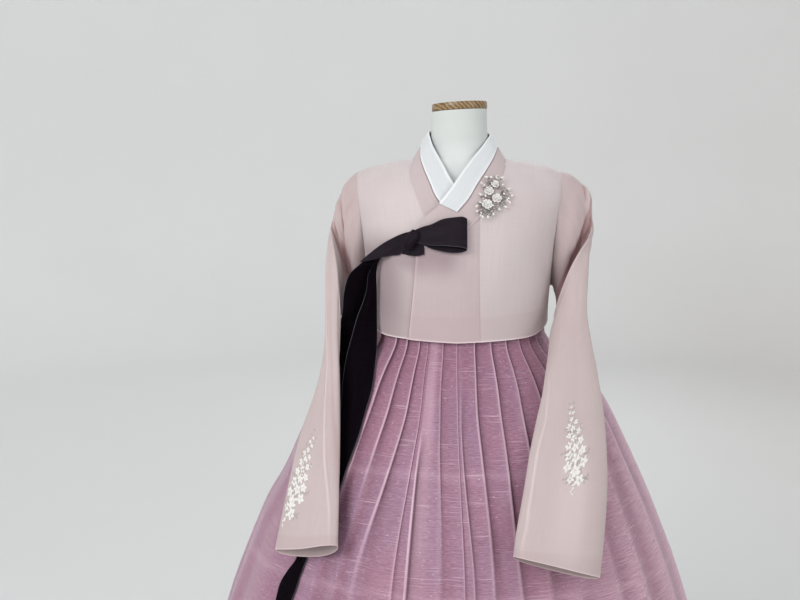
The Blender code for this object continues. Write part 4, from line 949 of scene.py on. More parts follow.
def overlap_panel(finish):
    """Outer front overlap, from its free edge to the seam on the left front."""
    stations = COLLAR[:OVERLAP_STATIONS]
    share = np.concatenate([[0.0, 0.004, 0.008, 0.014, 0.03], np.linspace(0.055, 0.95, 44),
                            [0.97, 0.986, 1.0]])
    number = share * (len(stations) - 1)
    top_angle = np.interp(number, np.arange(len(stations)), column(stations, "angle"))
    top_level = np.interp(number, np.arange(len(stations)), column(stations, "level"))
    rise = np.concatenate([[0.0, 0.007, 0.016, 0.03], np.linspace(0.05, 1.0, 64)])[:, None]
    foot = OVERLAP_HEM[0] + (OVERLAP_HEM[1] - OVERLAP_HEM[0]) * share
    angle = foot + (top_angle - foot) * rise
    level = -1 + (top_level + 1 + 0.012) * rise
    lift = FRONT_OVERLAP * (1 - ease((share - 0.62) / 0.38)) * (0.6 + 0.4 * rise)
    points = bodice_point(angle, level, lift)
    across = BODY_RADIUS * np.radians(angle)
    down = BODY_LENGTH * (level + 1)
    creases = [Crease([(-40, 30), (-34, 130)], 10, 0.5), Crease([(-8, 10), (-6, 120)], 14, -0.5),
               Crease([(-62, 60), (-20, 140)], 12, 0.5)]
    points, tone = creased(points, outward(points, 1), across, down, creases, drape=0.3)
    edge = share * OVERLAP_WIDTH
    seam = ease((share - 0.93) / 0.02) * 0.3 + 0 * rise
    # the double mark also grows darker towards the hem
    double = np.maximum(0.32 * ease((OVERLAP_FOLD - down) / 3.0), seam) + 0.25 * ease((150 - down) / 150)
    free = 0.22 * ease((6.0 - edge) / 4.0) * ease((edge - 0.9) / 0.5) + 0 * rise
    turned = np.maximum(ease((3.0 - down) / 2.0), free)
    # painted shade in thin dark lines along the seam and along the free edge
    tone = tone + 0.75 * ease((share - 0.984) / 0.012) + 1.6 * ease((1.1 - edge) / 0.5)
    # painted shadow under the bow
    shade = 0.75 * ease((level + 0.74) / 0.13) * (1 - ease((angle + 6) / 12))
    return cloth("front_overlap", points, across, down, finish, ["jeogori_outer_seop"],
                 marks={"double": double, "turned": turned, "tone": tone, "shade": shade})


# ------------------------------------------------ collar
def collar_surface(number, share):
    """Outer face of the collar band at station numbers and shares of its width."""
    number, share = np.asarray(number, float), np.asarray(share, float)
    stations = np.array([(row.angle, row.level, row.lift, *row.inner) for row in COLLAR], float)
    rows = spread(stations, number)
    angle, level, lift = rows[:, 0], rows[:, 1], rows[:, 2]
    outer = bodice_point(angle, level, lift)[:, None]
    inner = rows[:, None, 3:]
    away = bodice_normal(angle, level)[:, None]
    t = share[None, :, None]
    return outer + (inner - outer) * t + away * COLLAR_BOW * 4 * t * (1 - t)


def collar_band(finish):
    """Silk band from the outer overlap round the neck to the right front."""
    number = np.linspace(0, len(COLLAR) - 1, COLLAR_ROWS)
    share = np.array([-0.02, 0.0, 0.03, 0.1, 0.2, 0.3, 0.4, 0.45, 0.465, 0.48, 0.49, 0.5, 0.53, 0.6, 0.7, 0.8,
                      0.9, 0.96, 1.0])
    points = collar_surface(number, share)
    normals = outward(points, -1)
    lift = np.interp(share, [-0.02, 0.0, 0.03, 0.4], [-0.5, 0.1, 0.35, 0.0])
    points = points + normals * lift[None, :, None]
    across, down = run_across(points), run_down(points)
    creases = [Crease([(6, 30), (30, 62)], 5, 0.5), Crease([(18, 250), (34, 300)], 6, 0.6),
               Crease([(8, 420), (26, 470)], 6, 0.5)]
    points, tone = creased(points, normals, across, down, creases)
    turned = np.where(share < 0.02, 0.35, 0.0)[None, :] + 0 * down
    # painted shadow in a thin line on the band along the white strip's outer edge
    line = np.interp(share, [0.45, 0.465, 0.48, 0.53, 0.6], [0.0, 0.2, 1.0, 1.0, 0.0])
    line = line * ease((number - STRIP_START - STRIP_BEVEL) / 0.15)[:, None]
    marks = {"double": 0 * down, "turned": turned, "tone": tone, "shade": line}
    return cloth("collar_band", points, across, down, finish, ["jeogori_git"], wall=0.9,
                 facing=-1, marks=marks)


def collar_strip(finish):
    """White strip that is folded over the free edge of the collar band."""
    section = spread(np.array(STRIP_SECTION, float), np.linspace(0, len(STRIP_SECTION) - 1, 37))
    share, lift = section[:, 0], section[:, 1]
    length = np.linspace(0, 1, STRIP_ROWS)
    points = []
    for place, height in zip(share, lift):
        start = STRIP_START + STRIP_BEVEL * (1 - np.clip((place - 0.5) / 0.5, 0, 1))
        number = start + (len(COLLAR) - 1 - start) * length
        near = collar_surface(number, [max(place - 0.02, 0.5), place, min(place + 0.02, 1.04)])
        points.append(near[:, 1] + outward(near, -1)[:, 1] * height)
    points = np.stack(points, axis=1)
    turned = np.interp(share, [0.5, 0.53, 0.56, 0.96, 0.99, 1.05], [1.0, 0.9, 0.0, 0.0, 0.9, 1.0])
    turned[np.argmax(share):] = 0.0
    return cloth("collar_strip", points, run_across(points), run_down(points), finish,
                 ["jeogori_dongjeong"], wall=STRIP_WALL, facing=-1,
                 marks={"turned": turned[None, :] + 0 * length[:, None]})


# ------------------------------------------------ sleeves
def armhole_loop(side):
    """Points just inside the armhole, where the sleeve begins."""
    level = np.array(ARMHOLE_LEVELS)
    loop = bodice_point(side * edge_angle(ARMHOLE, np.abs(level)), level)
    loop[:, 0] += side * ARMHOLE_GAP
    inward = loop.mean(axis=0) - loop
    inward[:, 0] = 0.0
    return loop + inward / np.linalg.norm(inward, axis=1, keepdims=True) * ARMHOLE_GAP


def rib_loop(rib, turn):
    """One cross section of a sleeve, from its outer side round the front."""
    outer, inner = np.array(rib.outer, float), np.array(rib.inner, float)
    bulge = np.where((turn <= math.pi)[:, None], np.array(rib.front, float), np.array(rib.back, float))
    middle, half = (outer + inner) / 2, (outer - inner) / 2
    return middle + half * np.cos(turn)[:, None] + bulge * np.abs(np.sin(turn))[:, None]


SLEEVE_COLUMNS = 116
SLEEVE_ROWS = 215
LEFT_SLEEVE_CREASES = [
    Crease([(-14, 60), (30, 61), (62, 60), (100, 54), (150, 49), (225, 44)], 14, -1.8, 1.8, 0.82),
    Crease([(38, 49), (22, 44), (-10, 38)], 2.2, -1.8, 1.5),
    Crease([(42, 57), (24, 52), (-14, 46)], 4.5, 1.6, -0.7),
    Crease([(-6, 60), (20, 66), (46, 62)], 7, 3.2, -0.3),
    Crease([(-6, 84), (24, 90), (50, 88)], 8, -4.5, 0.9),
    Crease([(-8, 136), (60, 134), (130, 135), (196, 136)], 4.5, 4.2, -0.55, 0.3),
    Crease([(-8, 113), (60, 113), (130, 114), (196, 114)], 9.0, -4.0, 0.75),
    Crease([(30, 70), (90, 84), (150, 92)], 14, -1.2, 0.35), Crease([(30, 18), (70, 92)], 8, -1.2),
    Crease([(60, 12), (100, 70)], 7, 1.3), Crease([(120, 20), (140, 84)], 8, -1.2),
    Crease([(92, 14), (120, 76)], 6, 1.0),
    Crease([(122, 255), (127, 348), (137, 405), (143, 450), (146, 498), (140, 561),
            (137, 604)], 2.8, 1.7, -0.85), Crease([(160, 250), (164, 420), (170, 600)], 10, -0.5, 0.5),
    Crease([(64, 400), (72, 520), (76, 640)], 44, 0.3, -0.5), Crease([(100, 330), (84, 560)], 14, 0.8),
    Crease([(40, 260), (70, 420)], 16, -1.0), Crease([(22, 170), (46, 330)], 10, 0.9),
    Crease([(50, 420), (64, 600)], 14, 0.7), Crease([(96, 150), (84, 260)], 11, -1.0),
    Crease([(64, 146), (44, 220)], 8, 0.9), Crease([(230, 60), (200, 190)], 12, 2.0),
    Crease([(262, 90), (236, 260)], 12, -2.0), Crease([(300, 40), (262, 170)], 14, 1.8),
    Crease([(215, 230), (250, 420)], 14, 1.5), Crease([(280, 300), (262, 520)], 15, -1.4),
    Crease([(330, 70), (318, 150)], 9, -1.6), Crease([(196, 320), (214, 520)], 10, 0.8),
]
RIGHT_SLEEVE_CREASES = [
    Crease([(48, 82), (72, 74), (100, 65), (132, 57)], 25, -0.9, 1.3, 0.75),
    Crease([(26, 45), (50, 50), (75, 56), (97, 60)], 2.4, -1.6, 1.9),
    Crease([(26, 38), (50, 43), (75, 48), (94, 50)], 4.0, 1.2, -0.4),
    Crease([(8, 85), (22, 87), (40, 84)], 3.6, -1.8, 1.9),
    Crease([(-6, 34), (26, 36), (40, 30)], 6, 2.2, -0.2),
    Crease([(-6, 50), (30, 54), (52, 46)], 5, -2.4, 0.55),
    Crease([(-6, 64), (24, 70), (44, 66)], 5, 1.8, -0.2),
    Crease([(-6, 96), (24, 100), (70, 98)], 8, -3.2, 0.85),
    Crease([(-8, 122), (30, 121), (78, 122), (110, 126)], 4.5, 3.2, -0.5, 0.3),
    Crease([(60, 8), (66, 60), (82, 104)], 9, -1.4, 0.45), Crease([(84, 6), (88, 50), (96, 96)], 7, 1.2),
    Crease([(112, 22), (130, 96)], 6, -1.1), Crease([(30, 130), (42, 190)], 9, 1.0),
    Crease([(0, 141), (6, 198), (15, 259), (34, 300), (50, 350), (68, 399), (84, 448), (96, 498),
            (116, 582)], 2.8, 2.1, -0.95),
    Crease([(26, 170), (42, 259), (68, 320), (96, 400), (120, 498), (136, 575)], 9, -0.5, 0.42),
    Crease([(16, 440), (22, 570)], 10, 0.6), Crease([(120, 300), (128, 500)], 9, 0.7),
    Crease([(100, 140), (110, 260)], 8, -0.9), Crease([(225, 70), (198, 210)], 12, 2.0),
    Crease([(258, 80), (240, 250)], 12, -2.0), Crease([(296, 50), (270, 180)], 14, 1.8),
    Crease([(190, 240), (206, 430)], 12, 1.4), Crease([(160, 300), (172, 500)], 12, -1.2),
    Crease([(320, 60), (300, 140)], 9, -1.6),
]
CUFF_DROP = {1: 7.0, -1: 9.0}     # how much lower the back of the cuff hangs
CUFF_REACH = 70.0
CUFF_FOLD = 26.0                  # width of the cuff's edge that is turned in


def sleeve_points(side, ribs, creases):
    """Points of a sleeve with their places on its flat cloth, and their normals."""
    turn = np.linspace(0, 2 * math.pi, SLEEVE_COLUMNS + 1)
    rim = armhole_loop(side)
    first = spread(rim, np.linspace(0, len(rim), SLEEVE_COLUMNS + 1), ring=True)
    loops = np.array([first] + [rib_loop(rib, turn) for rib in ribs])
    centres = loops[:, :-1].mean(axis=1)
    reach = np.concatenate([[0.0], np.cumsum(np.linalg.norm(np.diff(centres, axis=0), axis=1))])
    ends = np.array([0.0, 1.2, 3.0, 5.5])
    places = np.concatenate([ends, np.linspace(9.0, reach[-1] - 8.0, SLEEVE_ROWS), reach[-1] - ends[::-1]])
    number = np.interp(places, reach, np.arange(len(loops)))
    points = spread(loops, number)
    points[:, -1] = points[:, 0]
    down = np.repeat(places[:, None], SLEEVE_COLUMNS + 1, axis=1)
    across = run_across(points)
    normals = outward(points, side, ring=True)
    shaped, tone = creased(points, normals, across, down, creases, drape=0.4)
    back = np.clip(-np.sin(turn), 0, 1) ** 0.7
    low = ease((down - reach[-1] + CUFF_REACH) / CUFF_REACH)
    shaped[..., 2] -= CUFF_DROP[side] * back * low
    if side < 0:
        shaped[..., 2] += 6.0 * np.exp(-((across - 118) / 36) ** 2) * low
    shaped[:, -1] = shaped[:, 0]
    tone[:, -1] = tone[:, 0]
    return shaped, across, down, outward(shaped, side, ring=True), tone


def sleeve(name, node, side, grid, finish):
    """Sleeve whose armhole seam and turned cuff are deeper in tone, where the silk lies double."""
    points, across, down, _, tone = grid
    length = down[-1, 0]
    hem = length - down
    seam = ease((9.0 - down) / 2.0) * 0.12
    double = np.maximum(0.45 * ease((CUFF_FOLD - hem) / 3.0), seam)
    # darker over the top of the sleeve, carried in the double mark
    high = 0.4 * ease((150 - down) / 120) * ease(down / 30)
    marks = {"double": double + high, "turned": ease((2.6 - hem) / 2.0), "tone": tone}
    return cloth(name, points, across, down, finish, [node], facing=side, ring=True,
                 marks=marks)


# ------------------------------------------------ embroidery
Stitch = namedtuple("Stitch", "across down turn length width")
CORD_STEPS = 26
CORD_SECTION = ((-0.55, 0.08), (-0.275, 0.45), (0.275, 0.45), (0.55, 0.08))     # across the cord and out


def stitch_from(x, y, out, turn, length, width):
    """Stitch that points away from a place, with its middle that far out."""
    aim = math.radians(turn)
    return Stitch(x + out * math.sin(aim), y - out * math.cos(aim), turn, length, width)


def spray(stem, count, reach, size, splay):
    """Small leaves up both sides of a curved stem; splay is their turn away from it."""
    made = []
    for i in range(count):
        t = (i + 0.5) / count
        x, y, heading = stem(t)
        side = 1 if i % 2 else -1
        shrink = 1 - 0.4 * t
        made.append(stitch_from(x, y, reach * (1 - 0.35 * t), heading + side * splay, size * shrink,
                                size * 0.42 * shrink))
    return made


def blossom(x, y, radius, petals, turn):
    return [stitch_from(x, y, radius * 0.56, turn + 360 * k / petals, radius * 0.98, radius * 0.74)
            for k in range(petals)]


def placer(grid, middle):
    """Finds points on a sleeve by their place from a motif's middle."""
    points, across, down, normals, _ = grid
    ids = np.arange(points.shape[1])

    def place(x, y, out):
        """Point that lies x across and y down from the motif's middle, out over the cloth."""
        row = np.interp(middle[1] + y, down[:, 0], np.arange(len(down)))
        r0 = int(row)
        r1 = min(r0 + 1, len(down) - 1)
        f = row - r0
        wanted = middle[0] + x
        spots = []
        for r in (r0, r1):
            c = np.interp(wanted, across[r], ids)
            c0 = int(c)
            c1 = min(c0 + 1, len(ids) - 1)
            g = c - c0
            spots.append([table[r, c0] * (1 - g) + table[r, c1] * g for table in (points, normals)])
        spot, normal = [upper * (1 - f) + lower * f for upper, lower in zip(*spots)]
        return Vector(spot + normal / np.linalg.norm(normal) * out)

    return place


def corded_stem(shape, threads, place, stem, side):
    """Thin raised cord along a stem."""
    previous = None
    for i in range(CORD_STEPS + 1):
        x, y, heading = stem(i / CORD_STEPS)
        aim = math.radians(heading)
        ring = []
        for offset, out in CORD_SECTION:
            spot = place(side * (x + offset * math.cos(aim)), y + offset * math.sin(aim), out)
            ring.append(shape.verts.new(spot * MM))
        if previous:
            for k in range(3):
                made = shape.faces.new((previous[k], previous[k + 1], ring[k + 1], ring[k]))
                for loop, uv in zip(made.loops, ((k, i), (k + 1, i), (k + 1, i + 1), (k, i + 1))):
                    loop[threads].uv = (uv[0] * 0.0004, uv[1] * 0.001)
        previous = ring


def stitches(name, grid, middle, motif, stems, finish, side):
    """Raised satin stitches on a sleeve: each is a small domed leaf laid on the cloth."""
    shape = bmesh.new()
    threads = shape.loops.layers.uv.new("threads")
    place = placer(grid, middle)
    for mark in motif:
        made = bmesh.ops.create_circle(shape, cap_ends=True, segments=14, radius=1.0)
        face = list({f for v in made["verts"] for f in v.link_faces})
        inner = bmesh.ops.inset_region(shape, faces=face, use_boundary=True, use_even_offset=False,
                                       thickness=0.24)["faces"]
        crown = bmesh.ops.poke(shape, faces=face)["verts"]
        verts = {v for f in inner for v in f.verts} | set(made["verts"]) | set(crown)
        rim = set(made["verts"])
        aim = math.radians(mark.turn)
        for vert in verts:
            across_part, along = vert.co.x, vert.co.y
            height = 0.1 if vert in rim else (0.95 if vert in crown else 0.75)
            a = across_part * mark.width / 2 * (1 - 0.25 * along)
            b = along * mark.length / 2
            x = side * (a * math.cos(aim) + b * math.sin(aim))
            y = a * math.sin(aim) - b * math.cos(aim)
            for loop in vert.link_loops:
                loop[threads].uv = (a * MM, b * MM)
            vert.co = place(side * mark.across + x, mark.down + y, height) * MM
    for stem in stems:
        corded_stem(shape, threads, place, stem, side)
    face_out(shape)
    piece(name, shape, finish)


def arc_stem(x0, y0, x1, y1, bow):
    """A stem between two points that bows to one side; gives place and heading at a share."""
    def at(t):
        dx, dy = x1 - x0, y1 - y0
        length = math.hypot(dx, dy)
        push = bow * math.sin(math.pi * t)
        slope = bow * math.pi * math.cos(math.pi * t)
        x = x0 + dx * t - dy / length * push
        y = y0 + dy * t + dx / length * push
        tx, ty = dx - dy / length * slope, dy + dx / length * slope
        return x, y, math.degrees(math.atan2(tx, -ty))
    return at


# ------------------------------------------------ skirt
def skirt_size(height, name):
    return through(column(SKIRT, "height"), column(SKIRT, name), height)


def skirt_point(angle, height, lift):
    """Point of the skirt at an angle from its front; lift moves it away from the body."""
    gather = GATHER * ease((FOLDS_FROM - height) / 120)
    turned = angle - gather * np.degrees(np.sin(np.radians(2 * angle))) / 2
    side = np.sin(np.radians(turned))
    swell = SWELL * np.exp(-((height - SWELL_AT) / SWELL_OVER) ** 2)
    slack = SLACK * np.exp(-((height - SLACK_AT) / SLACK_OVER) ** 4)
    lift = lift + np.where(side > 0, swell, slack) * side ** 2
    half_width, front, back = [skirt_size(height, name) + lift for name in ("half_width", "front", "back")]
    return girth_points(turned, height, half_width, front, back, skirt_size(height, "power"))


def skirt(finish):
    """Skirt of pressed pleats that open to waves on their way to the hem."""
    heights = np.concatenate([np.linspace(1124.5, 1086, 5), np.linspace(1076, 700, 62),
                              np.linspace(688, 28, 40), [25.0]])
    height = heights[:, None, None]
    count, per, rows = len(PLEATS), len(PRESSED), len(heights)
    flare = skirt_size(height, "flare")
    below = FOLDS_FROM - height
    top, low = column(PLEATS, "angle"), column(PLEATS, "low")
    number = np.arange(count)[None, :, None]
    wobble = 0.35 * np.sin(below / 61 + 2.1 * number) * ease(below / 90)
    starts = (top + (low - top) * ease((DRIFT_FROM - heights[:, None]) / DRIFT_OVER))[..., None] + wobble
    pitch = np.concatenate([starts[:, 1:], starts[:, :1] + 360], axis=1) - starts
    ends, begins, strength = [column(PLEATS, name)[None, :, None] for name in ("ends", "starts", "strength")]
    pressed = (1 - ease((below / ends - 0.35) / 0.75)) * ease((below - begins) / 70)
    press, wave = np.array(PRESSED), np.array(OPEN)
    place = pressed * press[:, 0] + (1 - pressed) * wave[:, 0]
    narrow = np.clip(pitch / 8.0, 0.3, 1.0)
    step = (TUCK + TUCK_GROWTH * flare) * pressed * press[:, 1] * (0.35 + 0.65 * strength) * narrow
    growth = flare * (0.22 + 0.78 * ease((900 - height) / 640))
    depth = column(PLEATS, "hem_depth")[None, :, None] * growth * WAVE_SHARE
    swell = depth * (1 - 0.75 * pressed) * wave[:, 1]
    angle = starts + pitch * place
    dip = HOOP_DIP * np.sin(np.radians(angle)) ** 4
    hoop = sum(np.exp(-((height - ring + dip) / HOOP_WIDTH) ** 2) for ring in HOOPS)
    points = skirt_point(angle, height, HOOP_RISE * hoop - step - swell)
    points = points.reshape(rows, -1, 3)
    points = np.concatenate([points, points[:, :1]], axis=1)
    steps = np.linalg.norm(np.diff(points, axis=1), axis=2).reshape(rows, count, per)
    local = np.concatenate([np.zeros((rows, count, 1)), np.cumsum(steps, axis=2)], axis=2)
    local = local + np.concatenate([[0.0], np.cumsum(local[-1, :, -1])[:-1]])[None, :, None]
    across = np.stack([local[..., :-1], local[..., 1:]], axis=3).reshape(rows, count * per, 2)
    down = run_down(points)
    # painted highlight along each pressed pleat's fold edge
    crest_highlight = np.zeros(per)
    crest_highlight[[0, 1, -1]] = (0.80, 0.85, 0.12)
    # painted shadow just beside each fold edge
    tuck_shadow = np.zeros(per)
    tuck_shadow[[2, 3, 4, 5, 6, 7]] = (0.60, 1.0, 1.0, 1.0, 0.50, 0.12)
    # painted highlight across the broad fold's face
    broad = np.zeros(per)
    broad[:10] = (0.20, 0.26, 0.31, 0.34, 0.37, 0.40, 0.40, 0.33, 0.21, 0.08)
    broad = broad * (number == BROAD_FOLD) * (1 - ease((below - 180) / 420))
    uneven = 0.78 + 0.22 * np.sin(below / 37 + 1.7 * number) * np.sin(below / 83 + number)
    shown = strength * uneven * pressed ** 0.6
    shaded = np.minimum(shown * (1.15 - 0.45 * ease(below / 150)), 1.0)
    # painted shade in each pleat's hollow, and under the jacket's hem at the top
    sunk_shade = (press[:, 1] * pressed + wave[:, 1] * (1 - pressed)) * (0.5 + 0.5 * np.sin(2.4 * number + 1) ** 2)
    sunk_shade = np.clip(sunk_shade + 0.55 * (1 - ease(below / 90)), 0, 1)
    # the pressed mark is painted highlight: fold edges, the broad fold and the hoops' ridges
    marks = {"pressed": shown * crest_highlight + uneven * (broad + 0.22 * hoop), "tuck_shadow": shaded * tuck_shadow,
             "sunk_shade": sunk_shade}
    for mark, values in marks.items():
        values = (values + 0 * place).reshape(rows, -1)
        marks[mark] = np.concatenate([values, values[:, :1]], axis=1)
    return cloth("pleated_skirt", points, across, down, finish, ["chima_skirt"], facing=-1,
                 ring=True, marks=marks)


# ------------------------------------------------ dress form and waistband
def form_rows(heights, sides, grow=0.0):
    keys = column(FORM, "height")
    turn = np.linspace(0, 360, sides + 1)[None, :]
    z = np.asarray(heights, float)[:, None]
    power = BODICE_POWER - 0.2 * ease((z - 1240) / 120)
    half_width, front, back = [through(keys, column(FORM, name), z) + grow
                               for name in ("half_width", "front", "back")]
    points = girth_points(turn, z, half_width, front, back, power)
    points[:, -1] = points[:, 0]
    return points


def torso(finish):
    """Padded torso with its cover and seams: closed at the hips and under the neck cap."""
    heights = np.concatenate([[745, 747, 750], np.linspace(754, 1340, 74), np.linspace(1342, 1380, 26),
                              np.linspace(1384, 1435.5, 16)])
    points = form_rows(heights, 96)
    points[-1, :, 2] += NECK_TILT * points[-1, :, 0]
    seam = np.zeros(97)
    for column_at in (0, 15, 24, 34, 48, 62, 72, 81, 96):
        seam[column_at] = -0.5
    fade = ease((1336 - heights) / 20)[:, None]
    points = points + outward(points, 1, ring=True) * (seam * fade)[..., None]
    item = cloth("torso_cover", points, run_across(points), run_down(points), finish,
                 ["form_torso"], wall=0.0, ring=True)
    shape = bmesh.new()
    shape.from_mesh(item.data)
    bmesh.ops.holes_fill(shape, edges=[e for e in shape.edges if e.is_boundary], sides=0)
    face_out(shape)
    shape.to_mesh(item.data)
    shape.free()
    item.data.set_sharp_from_angle(angle=math.radians(60))
    return item


def waistband(finish):
    """Cotton band that holds the skirt on the form."""
    heights = np.linspace(WAISTBAND[0], WAISTBAND[1], 24)
    points = form_rows(heights, 120, WAISTBAND_OUT - 0.4)
    across, down = run_across(points), run_down(points)
    turn = np.linspace(0, 2 * math.pi, 121)
    rise = 0.4 * np.sin(turn * 34) * ease((heights - heights[0]) / 12)[:, None] * 0.5
    edge = 0.3 * (ease((heights - 1194) / 3) + ease((1130 - heights) / 3))[:, None]
    points = points + outward(points, 1, ring=True) * (rise + edge)[..., None]
    return cloth("waist_band", points, across, down, finish, ["chima_waistband"],
                 wall=1.6, ring=True)


def lathe(profile):
    """Shape turned about Z through a profile of radius and height."""
    shape = bmesh.new()
    verts = [shape.verts.new((x, 0, z)) for x, z in profile]
    edges = [shape.edges.new(pair) for pair in zip(verts, verts[1:])]
    bmesh.ops.spin(shape, geom=verts + edges, cent=(0, 0, 0), axis=(0, 0, 1), angle=2 * math.pi, steps=96,
                   use_merge=True)
    return shape


def neck_cap(finish):
    """Turned wooden disc with eased edges, tilted with the neck."""
    bottom = FORM[-1].height + 0.3
    profile = [(0, 0.0), (CAP_RADIUS - 1.6, 0.0), (CAP_RADIUS - 0.5, 0.5), (CAP_RADIUS, 1.6),
               (CAP_RADIUS, CAP_THICK - 2.0), (CAP_RADIUS - 0.6, CAP_THICK - 0.7),
               (CAP_RADIUS - 2.0, CAP_THICK), (20.0, CAP_THICK), (8.0, CAP_THICK - 0.1), (0, CAP_THICK - 0.1)]
    shape = lathe([(x * MM, (bottom + z) * MM) for x, z in profile])
    bmesh.ops.remove_doubles(shape, verts=shape.verts[:], dist=1e-6)
    for vert in shape.verts:
        vert.co.z += NECK_TILT * vert.co.x
    face_out(shape)
    return piece("turned_neck_cap", shape, finish, ["form_neck_cap"], sharp=35)


# ------------------------------------------------ ribbons
def edge_points(edges, count):
    """Points from edge to edge of a ribbon, which are placed free or by turn and height on the skirt."""
    row = []
    for t in np.linspace(0, 1, count):
        between_edges = [a + (b - a) * t for a, b in zip(edges.left, edges.right)]
        if len(between_edges) == 3:
            row.append(np.array(between_edges))
        else:
            row.append(skirt_point(np.array(between_edges[0]), np.array(between_edges[1]), edges.lift))
    return np.array(row)


def ribbon(name, node, stations, facing, rows, finish, creases=(), cup=0.0):
    """Silk ribbon through its stations; cup curls both long edges towards its face."""
    coarse = np.array([edge_points(edges, 5) for edges in stations])
    number = np.linspace(0, len(stations) - 1, rows)
    share = np.concatenate([[0.0, 0.012, 0.026, 0.05], np.linspace(0.1, 0.9, 14), [0.95, 0.974, 0.988, 1.0]])
    points = loft_grid(coarse, number, share * 4)
    across, down = run_across(points), run_down(points)
    normals = outward(points, facing)
    points = points + normals * (cup * (2 * share - 1) ** 4)[None, :, None]
    points, _ = creased(points, normals, across, down, creases)
    # painted highlight along both long edges
    edge_highlight = np.maximum(ease((0.028 - share) / 0.02), ease((share - 0.972) / 0.02))[None, :] + 0 * down
    return cloth(name, points, across, down, finish, [node], wall=RIBBON_WALL, facing=facing,
                 marks={"edge_highlight": edge_highlight * 0.8})


def knot(finish):
    """The wrap over the bow's middle, drawn in at both ends, with its gathered folds."""
    rows = spread(np.array(KNOT, float), np.linspace(0, len(KNOT) - 1, 26))
    turn = np.linspace(0, 2 * math.pi, 41)
    grid = []
    for i, row in enumerate(rows):
        near, far = rows[max(i - 1, 0)], rows[min(i + 1, len(rows) - 1)]
        along = Vector(far[:3] - near[:3]).normalized()
        across = along.cross(Vector((0, 1, 0))).normalized()
        out = np.array(across.cross(along).normalized())
        across = np.array(across)
        pleat = 1 + 0.10 * np.sin(5 * turn + 0.5 * i / 5) * np.sin(math.pi * i / (len(rows) - 1))
        wide, thick = across * row[3], out * row[4]
        grid.append(row[:3] + np.outer(np.cos(turn) * pleat, wide) + np.outer(np.sin(turn) * pleat, thick))
    points = np.array(grid)
    middle = points[:, :-1].mean(axis=1, keepdims=True)
    drawn = np.array([0.3, 0.75])[:, None, None]
    points = np.concatenate([middle[:1] + (points[:1] - middle[:1]) * drawn, points,
                             middle[-1:] + (points[-1:] - middle[-1:]) * drawn[::-1]])
    points[:, -1] = points[:, 0]
    return cloth("tie_knot", points, run_across(points), run_down(points), finish,
                 ["goreum_knot"], wall=0.6, ring=True, marks={"edge_highlight": np.zeros(points.shape[:2])})


# ------------------------------------------------ brooch
def brooch_frame():
    """From the brooch's own frame, across, up and out of it, to the jacket."""
    middle = Vector(bodice_point(*BROOCH_PLACE, BROOCH_LIFT))
    away = Vector(bodice_normal(*BROOCH_PLACE))
    side = Vector((0, 0, 1)).cross(-away).normalized() * -1
    rise = away.cross(side).normalized()
    turned = Matrix((side, rise, away)).transposed().to_4x4()
    return Matrix.Translation(middle) @ turned


def to_brooch(shape):
    bmesh.ops.transform(shape, matrix=Matrix.Scale(MM, 4) @ brooch_frame(), verts=shape.verts[:])


def tube(shape, stations, sides, per):
    """Tapered wire through its stations, with its ends closed."""
    rows = spread(np.array(stations, float), np.linspace(0, len(stations) - 1, per * len(stations)))
    rings = []
    for i, row in enumerate(rows):
        near, far = rows[max(i - 1, 0)], rows[min(i + 1, len(rows) - 1)]
        heading = math.atan2(far[1] - near[1], far[0] - near[0])
        turned = Matrix.Rotation(heading, 4, "Z") @ Matrix.Rotation(math.pi / 2, 4, "Y")
        turned = Matrix.Translation((row[0], row[1], row[3] if len(row) > 3 else 0)) @ turned
        bark = row[2] * (1 + 0.10 * math.sin(i * 1.9))
        ring = bmesh.ops.create_circle(shape, segments=sides, radius=bark, matrix=turned)["verts"]
        rings.append(list({edge for vert in ring for edge in vert.link_edges}))
    for first, second in zip(rings, rings[1:]):
        bmesh.ops.bridge_loops(shape, edges=first + second)
    bmesh.ops.holes_fill(shape, edges=rings[0] + rings[-1], sides=0)


def brooch_wire(name, node, stations, finish):
    shape = bmesh.new()
    tube(shape, stations, 12, 8)
    face_out(shape)
    to_brooch(shape)
    return piece(name, shape, finish, [node], sharp=50)


def bud(shape, x, y, out, turn, length, width):
    """Small solid drop that points along its turn."""
    turned = Matrix.Translation((x, y, out)) @ Matrix.Rotation(turn, 4, "Z")
    size = Matrix.Diagonal((length / 2, width / 2, width / 2.6, 1))
    bmesh.ops.create_icosphere(shape, subdivisions=2, radius=1.0, matrix=turned @ size)


